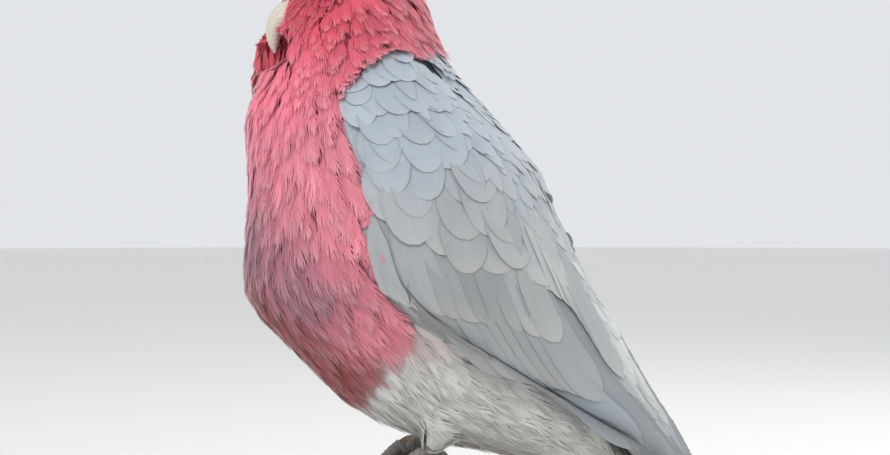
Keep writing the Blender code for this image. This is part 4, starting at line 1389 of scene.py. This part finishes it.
def make_bill():
    """The worn horn of the bill, and the cere with its nostrils."""
    settings = bpy.context.scene.galah_parts
    centre, ahead, across, up = head_axes()

    def grown(points, normals, colour):
        """Growth ridges across the horn, and darker streaks along it."""
        down = (points - centre) @ up
        ridge = np.sin(down * math.tau / (1.9 * MM) + 2 * mottle(points, 9 * MM, 3))
        streak = mottle(points * (1, 3, 0.4), 5 * MM, 9)
        shade = 1 + 0.05 * streak + 0.03 * ridge
        return points + normals * (0.05 * MM * ridge)[:, None], colour * shade[:, None]

    horn = tinted_surface("bill_horn_worn", 0.42, coat=0.1, grain=0.1 * MM, scale=1400.0)
    fine_piece("bill_top", ("bill_upper",), 0.4 * MM, 4, horn, "bill_horn", settings.horn, grown)
    fine_piece("bill_under", ("bill_lower",), 0.4 * MM, 4, horn, "bill_horn", settings.horn, grown)

    def nostrils(points, normals, colour):
        """The wrinkled cere with two round nostrils, dented and painted dark as shade inside them."""
        points = points + normals * (mottle(points, 2.4 * MM, 4)[:, None] * 0.12 * MM)
        colour = colour * (1 + 0.06 * mottle(points, 3 * MM, 6))[:, None]
        for side in (-1, 1):
            hole = middle("cere") + ahead * 4 * MM + across * side * 4.0 * MM + up * 4.5 * MM
            nearest = points[np.linalg.norm(points - hole, axis=1).argmin()]
            near = smooth(1 - np.linalg.norm(points - nearest, axis=1) / (1.5 * MM))[:, None]
            points = points - normals * near * 0.9 * MM
            # Painted shade: each nostril is darkened as the shade inside its opening.
            colour = colour * (1 - 0.85 * near)
        return points, colour

    skin = tinted_surface("bare_wrinkled_skin", 0.6, grain=0.12 * MM, scale=1500.0)
    fine_piece("cere_skin", ("cere",), 0.35 * MM, 3, skin, "bare_skin", settings.bare_skin, nostrils)


def turned_shape(profile, steps, axes, at):
    """Points and faces of a closed profile of (radius, height) turned about an axis."""
    out, over, along = axes
    table = np.array(profile)
    angles = np.linspace(0, math.tau, steps, endpoint=False)
    ring = np.cos(angles)[:, None, None] * out + np.sin(angles)[:, None, None] * over
    points = at + ring * table[None, :, 0, None] + along * table[None, :, 1, None]
    size = len(table)
    faces = []
    for step in range(steps):
        for place in range(size - 1):
            a, b = step * size + place, (step + 1) % steps * size + place
            faces += [(a, b, b + 1), (a, b + 1, a + 1)]
    return points.reshape(-1, 3), np.array(faces)


# How far the pupil and the iris reach from the middle of the eye's front, in degrees.
PUPIL_REACH = 24.0
IRIS_REACH = 50.0
PUPIL_SHADE = 0.004


def make_eyes():
    """Dark eyes with a bright clear front, each in a ring of bare folded skin."""
    settings = bpy.context.scene.galah_parts
    _, ahead, across, _ = head_axes()
    wet = tinted_surface("wet_cornea_over_iris", 0.03, scale=300.0)
    skin = tinted_surface("bare_wrinkled_skin", 0.6, grain=0.12 * MM, scale=1500.0)
    for name, side in SIDES:
        low, high = corners_of("eye_" + name)
        at = (low + high) / 2
        along = unit(across * side + ahead * 0.12)
        out = unit(ahead - along * (ahead @ along))
        turns = np.linspace(0, math.pi, 37)
        profile = np.stack((np.sin(turns), np.cos(turns)), axis=1) * (high - low).mean() / 2
        points, faces = turned_shape(profile, 48, (out, np.cross(along, out), along), at)
        mesh = mesh_from("eyeball_" + name, points, faces)
        weld(mesh)
        off = unit(read(mesh.vertices, "co", 3) - at) @ along
        angle = np.degrees(np.arccos(np.clip(off, -1, 1)))[:, None]
        colour = np.where(angle < PUPIL_REACH, PUPIL_SHADE, np.array(settings.iris))
        colour = np.where(angle > IRIS_REACH, np.array(settings.iris) * 0.3, colour)
        paint(mesh, np.concatenate((colour, np.ones((len(colour), 1))), axis=1))
        keep("eyeball_" + name, mesh, wet, "eye", "eye_" + name)

        def folded(points, normals, colour):
            """Fine folds round the eye."""
            points = points + normals * (mottle(points, 1.6 * MM, 14)[:, None] * 0.10 * MM)
            return points, colour * (1 + 0.06 * mottle(points, 2 * MM, 8))[:, None]

        ring, tone = ("eye_ring_" + name,), settings.bare_skin
        fine_piece("eye_skin_" + name, ring, 0.3 * MM, 3, skin, "bare_skin", tone, folded)


def weld(mesh):
    """Joins a turned shape along its seam, with its faces looking outward."""
    work = bmesh.new()
    work.from_mesh(mesh)
    bmesh.ops.remove_doubles(work, verts=work.verts, dist=1e-6)
    bmesh.ops.recalc_face_normals(work, faces=work.faces)
    work.to_mesh(mesh)
    work.free()
    mesh.shade_smooth()


TOES = (1, 2, 3, 4)


def make_feet():
    """Scaly feet that grip the branch, with dark curved claws."""
    settings = bpy.context.scene.galah_parts
    perch = middle("stand_perch")
    scaly = tinted_surface("scaly_foot_skin", 0.55, grain=0.2 * MM, scale=1300.0)
    dark = tinted_surface("claw_horn_polished", 0.3, coat=0.3, scale=500.0)

    def scales(points, normals, colour):
        """Plates across the toes, and small round scales up the shin."""
        turn = np.arctan2(points[:, 2] - perch[2], points[:, 0] - perch[0])
        high = points[:, 2] - perch[2] > 24 * MM
        along = np.where(high, points[:, 2], turn * 18 * MM)
        ridge = np.abs(np.sin(along * math.pi / (2.3 * MM)))
        depth = 0.28 * MM * (ridge**0.5 - 0.7)
        shade = 0.72 + 0.34 * ridge**0.6
        return points + normals * depth[:, None], colour * shade[:, None]

    for name, _ in SIDES:
        nodes = ["shin_" + name] + [f"toe_{name}_{toe}" for toe in TOES]
        fine_piece("foot_" + name, nodes, 0.45 * MM, 3, scaly, "foot_skin", settings.foot, scales)
        for toe in TOES:
            claw = f"claw_{name}_{toe}"
            fine_piece("talon" + claw[4:], (claw,), 0.3 * MM, 2, dark, "claw_horn", settings.claw)


# --- Stand --------------------------------------------------------------------------------------


def make_perch():
    """The branch in its bark, with sawn ends."""
    settings = bpy.context.scene.galah_parts
    at = middle("stand_perch")

    def barked(points, normals, colour):
        """Bark furrows along the branch, and growth rings on the sawn ends."""
        away = np.hypot(points[:, 0] - at[0], points[:, 2] - at[2])
        turn = np.arctan2(points[:, 2] - at[2], points[:, 0] - at[0])
        end = np.abs(normals[:, 1]) > 0.7
        spots = np.stack((np.cos(turn) * 5.0, points[:, 1] / MM / 9.0, np.sin(turn) * 5.0), axis=1)
        furrow = np.array([noise.fractal(Vector(spot), 0.9, 2.1, 5) for spot in spots.tolist()])
        furrow = np.clip(furrow, -1, 1)
        rings = 0.5 + 0.5 * np.sin((away + 0.4 * MM * np.sin(turn * 3)) * math.tau / (1.35 * MM))
        depth = np.where(end, -0.12 * MM * rings, -0.75 * MM * (0.6 - furrow * 0.6))
        wood = np.array(settings.sawn_wood) * (0.78 + 0.3 * rings)[:, None]
        rind = (away > 12.6 * MM)[:, None]
        wood = np.where(rind, np.array(settings.bark) * 0.55, wood)
        bark = colour * (0.75 + 0.5 * furrow)[:, None]
        return points + normals * depth[:, None], np.where(end[:, None], wood, bark)

    rough = tinted_surface("weathered_bark", 0.85, grain=0.5 * MM, scale=700.0, spec=0.3)
    fine_piece("branch", ("stand_perch",), 0.8 * MM, 1, rough, "bark", settings.bark, barked)


# Turned steel has a sharp edge where two faces meet at more than this angle.
METAL_SHARP = math.radians(35)


def make_metal():
    """The satin steel rod and collar."""
    settings = bpy.context.scene.galah_parts
    steel, tree, shader = new_material(
        "satin_brushed_steel", Base_Color=(*settings.steel, 1), Metallic=1.0, Roughness=0.32
    )
    where = node(tree, "ShaderNodeTexCoord")
    stretched = node(tree, "ShaderNodeMapping", Vector=where.outputs["Object"], Scale=(900, 900, 30))
    brushed = node(tree, "ShaderNodeTexNoise", Vector=stretched.outputs[0], Scale=1.0, Detail=3.0)
    bump = node(tree, "ShaderNodeBump", Strength=0.25, Distance=0.05 * MM, Height=brushed.outputs[0])
    tree.links.new(bump.outputs[0], shader.inputs["Normal"])
    out, over, along = np.eye(3)
    for name, piece in (("stand_rod", "rod"), ("stand_collar", "collar")):
        low, high = corners_of(name)
        at = np.array(((low[0] + high[0]) / 2, (low[1] + high[1]) / 2, low[2]))
        radius, height = (high[0] - low[0]) / 2, high[2] - low[2]
        if piece == "rod":
            profile = [(0, 0), (radius, 0), (radius, height), (0, height)]
        else:
            bore = 4.2 * MM
            profile = [(bore, 0), (radius, 0), (radius, 0.4 * MM), (radius - 1.4 * MM, height * 0.68)]
            profile += [(bore + 3.2 * MM, height * 0.94), (bore + 2.4 * MM, height)]
            profile += [(bore, height), (bore, 0)]
        points, faces = turned_shape(profile, 64, (out, over, along), at)
        mesh = mesh_from(piece, points, faces)
        weld(mesh)
        mesh.set_sharp_from_angle(angle=METAL_SHARP)
        keep(piece, mesh, steel, "satin_steel", name)


def make_base():
    """The oiled wooden base, an oval with rounded edges."""
    settings = bpy.context.scene.galah_parts
    wood, tree, shader = new_material(
        "oiled_dark_wood", Roughness=0.42, Coat_Weight=0.15, Coat_Roughness=0.3
    )
    where = node(tree, "ShaderNodeTexCoord")
    grain_place = node(tree, "ShaderNodeMapping", Vector=where.outputs["Object"], Scale=(6, 55, 55))
    bands = node(
        tree, "ShaderNodeTexNoise", Vector=grain_place.outputs[0], Scale=1.6, Detail=6.0, Distortion=0.6
    )
    pores_place = node(tree, "ShaderNodeMapping", Vector=where.outputs["Object"], Scale=(60, 1500, 1500))
    pores = node(tree, "ShaderNodeTexNoise", Vector=pores_place.outputs[0], Scale=1.0, Detail=2.0)
    colour = shaded(tree, (*settings.base_wood, 1), bands.outputs[0], 0.3, 0.7, 0.62, 1.25)
    colour = shaded(tree, colour, pores.outputs[0], 0.42, 0.6, 0.75, 1.05)
    tree.links.new(colour, shader.inputs["Base Color"])
    bump = node(tree, "ShaderNodeBump", Strength=0.3, Distance=0.15 * MM, Height=pores.outputs[0])
    tree.links.new(bump.outputs[0], shader.inputs["Normal"])
    low, high = corners_of("stand_base")
    half, depth, height = (high[0] - low[0]) / 2, (high[1] - low[1]) / 2, high[2] - low[2]
    rim = 3.0 * MM
    turns = np.radians(np.linspace(0, 90, 9))
    rows = [(-rim + rim * math.sin(turn), rim - rim * math.cos(turn)) for turn in turns]
    rows += [(-rim + rim * math.cos(turn), height - rim + rim * math.sin(turn)) for turn in turns]
    steps = 128
    angles = np.linspace(0, math.tau, steps, endpoint=False)
    rings = []
    for inset, level in rows:
        x, y = np.cos(angles) * (half + inset), np.sin(angles) * (depth + inset)
        rings.append(np.stack((x, y, np.full(steps, level)), axis=1))
    points = np.concatenate((*rings, ((0, 0, 0), (0, 0, height))))
    faces = band_faces(len(rows), steps)
    faces += [((step + 1) % steps, step, len(points) - 2) for step in range(steps)]
    top = (len(rows) - 1) * steps
    faces += [(top + step, top + (step + 1) % steps, len(points) - 1) for step in range(steps)]
    points = points + np.array(((low[0] + high[0]) / 2, (low[1] + high[1]) / 2, low[2]))
    mesh = mesh_from("base", points, np.array(faces))
    keep("base", mesh, wood, "oiled_wood", "stand_base")


# --- Stage --------------------------------------------------------------------------------------


def make_stage():
    """The floor, the world, two lights and the camera."""
    scene = bpy.context.scene
    settings = scene.galah_stage
    surface, *_ = new_material(
        "matt_pale_paint", Base_Color=(*settings.floor, 1), Roughness=0.9, Specular_IOR_Level=0.2
    )
    build = bmesh.new()
    bmesh.ops.create_circle(build, cap_ends=True, segments=96, radius=14.0)
    mesh = bpy.data.meshes.new("floor")
    build.to_mesh(mesh)
    build.free()
    mesh.materials.append(surface)
    floor = bpy.data.objects.new("floor", mesh)
    scene.collection.objects.link(floor)

    scene.view_settings.view_transform = "Standard"
    world = bpy.data.worlds.new("Studio")
    scene.world = world
    world.use_nodes = True
    background = world.node_tree.nodes["Background"]
    background.inputs[0].default_value = (0.93, 0.95, 0.98, 1)
    background.inputs[1].default_value = 0.82

    def area(name, place, size, power, colour):
        """A round light that shines on the middle of the bird."""
        light = bpy.data.lights.new(name, "AREA")
        light.shape = "DISK"
        light.size = size
        light.energy = power
        light.color = colour
        lamp = bpy.data.objects.new(name, light)
        lamp.location = place
        target = Vector(middle("trunk").tolist())
        lamp.rotation_euler = (target - lamp.location).to_track_quat("-Z", "Y").to_euler()
        scene.collection.objects.link(lamp)

    area("key", (-0.55, -1.1, 1.25), 0.9, settings.key_power, (1.0, 0.97, 0.93))
    area("rim", (0.95, 0.55, 1.15), 0.7, settings.rim_power, (1.0, 0.98, 0.95))

    camera = bpy.data.cameras.new("camera")
    camera.lens = 52.0
    camera.sensor_width = 36.0
    camera.dof.use_dof = False
    holder = bpy.data.objects.new("camera", camera)
    holder.location = (-0.026, -settings.camera_distance, 0.224)
    holder.rotation_euler = (math.radians(90), 0, 0)
    scene.collection.objects.link(holder)
    scene.camera = holder


# --- Operators ----------------------------------------------------------------------------------


class Making:
    """What every button does: it makes the pieces that its steps name, in order."""

    steps = ()

    def execute(self, context):
        """Runs the steps."""
        for step in self.steps:
            step()
        return {"FINISHED"}


class GALAH_OT_skin(Making, bpy.types.Operator):
    """Lays one skin under the whole coat."""

    bl_idname = "galah.skin"
    bl_label = "Skin"
    steps = (make_skin,)


class GALAH_OT_body_coat(Making, bpy.types.Operator):
    """Feathers the neck, trunk and thighs."""

    bl_idname = "galah.body_coat"
    bl_label = "Body coat"
    steps = (make_body_coat,)


class GALAH_OT_head_coat(Making, bpy.types.Operator):
    """Feathers the face, crown, beard and crest."""

    bl_idname = "galah.head_coat"
    bl_label = "Head coat"
    steps = (make_head_coat, make_beard, make_crest)


class GALAH_OT_wings(Making, bpy.types.Operator):
    """Lays the coverts, scapulars and flight feathers of both wings."""

    bl_idname = "galah.wings"
    bl_label = "Wings"
    steps = (make_coverts, make_scapulars, make_flight_feathers, make_inner_wings)


class GALAH_OT_tail(Making, bpy.types.Operator):
    """Lays the twelve tail feathers."""

    bl_idname = "galah.tail"
    bl_label = "Tail"
    steps = (make_tail,)


class GALAH_OT_bill(Making, bpy.types.Operator):
    """Shapes the bill and the cere."""

    bl_idname = "galah.bill"
    bl_label = "Bill"
    steps = (make_bill,)


class GALAH_OT_eyes(Making, bpy.types.Operator):
    """Sets the eyes in their bare skin."""

    bl_idname = "galah.eyes"
    bl_label = "Eyes"
    steps = (make_eyes,)


class GALAH_OT_feet(Making, bpy.types.Operator):
    """Shapes the scaly feet and the claws."""

    bl_idname = "galah.feet"
    bl_label = "Feet"
    steps = (make_feet,)


class GALAH_OT_perch(Making, bpy.types.Operator):
    """Roughens the branch with bark and sawn ends."""

    bl_idname = "galah.perch"
    bl_label = "Perch"
    steps = (make_perch,)


class GALAH_OT_stand(Making, bpy.types.Operator):
    """Makes the rod, the collar and the base."""

    bl_idname = "galah.stand"
    bl_label = "Stand"
    steps = (make_metal, make_base)


class GALAH_OT_stage(Making, bpy.types.Operator):
    """Sets the floor, the lights and the camera."""

    bl_idname = "galah.stage"
    bl_label = "Stage"
    steps = (make_stage,)


OPERATORS = (
    GALAH_OT_skin,
    GALAH_OT_body_coat,
    GALAH_OT_head_coat,
    GALAH_OT_wings,
    GALAH_OT_tail,
    GALAH_OT_bill,
    GALAH_OT_eyes,
    GALAH_OT_feet,
    GALAH_OT_perch,
    GALAH_OT_stand,
    GALAH_OT_stage,
)


class GALAH_PT_panel(bpy.types.Panel):
    """Lists the pieces in the 3D view's sidebar."""

    bl_label = "Galah"
    bl_space_type = "VIEW_3D"
    bl_region_type = "UI"
    bl_category = "Galah"

    def draw(self, context):
        """One button for each operator."""
        for made in OPERATORS:
            self.layout.operator(made.bl_idname)


SETTINGS = (
    ("galah_plumage", GalahPlumageSettings),
    ("galah_parts", GalahPartsSettings),
    ("galah_stage", GalahStageSettings),
)


def register():
    """Adds the settings, the operators and the panel to Blender."""
    for name, group in SETTINGS:
        bpy.utils.register_class(group)
        setattr(bpy.types.Scene, name, bpy.props.PointerProperty(type=group))
    for made in (*OPERATORS, GALAH_PT_panel):
        bpy.utils.register_class(made)


def unregister():
    """Takes them away again."""
    for made in (GALAH_PT_panel, *reversed(OPERATORS)):
        bpy.utils.unregister_class(made)
    for name, group in reversed(SETTINGS):
        delattr(bpy.types.Scene, name)
        bpy.utils.unregister_class(group)


def main():
    """Makes every piece."""
    register()
    bpy.ops.galah.skin()
    bpy.ops.galah.body_coat()
    bpy.ops.galah.head_coat()
    bpy.ops.galah.wings()
    bpy.ops.galah.tail()
    bpy.ops.galah.bill()
    bpy.ops.galah.eyes()
    bpy.ops.galah.feet()
    bpy.ops.galah.perch()
    bpy.ops.galah.stand()
    bpy.ops.galah.stage()


if __name__ == "__main__":
    main()
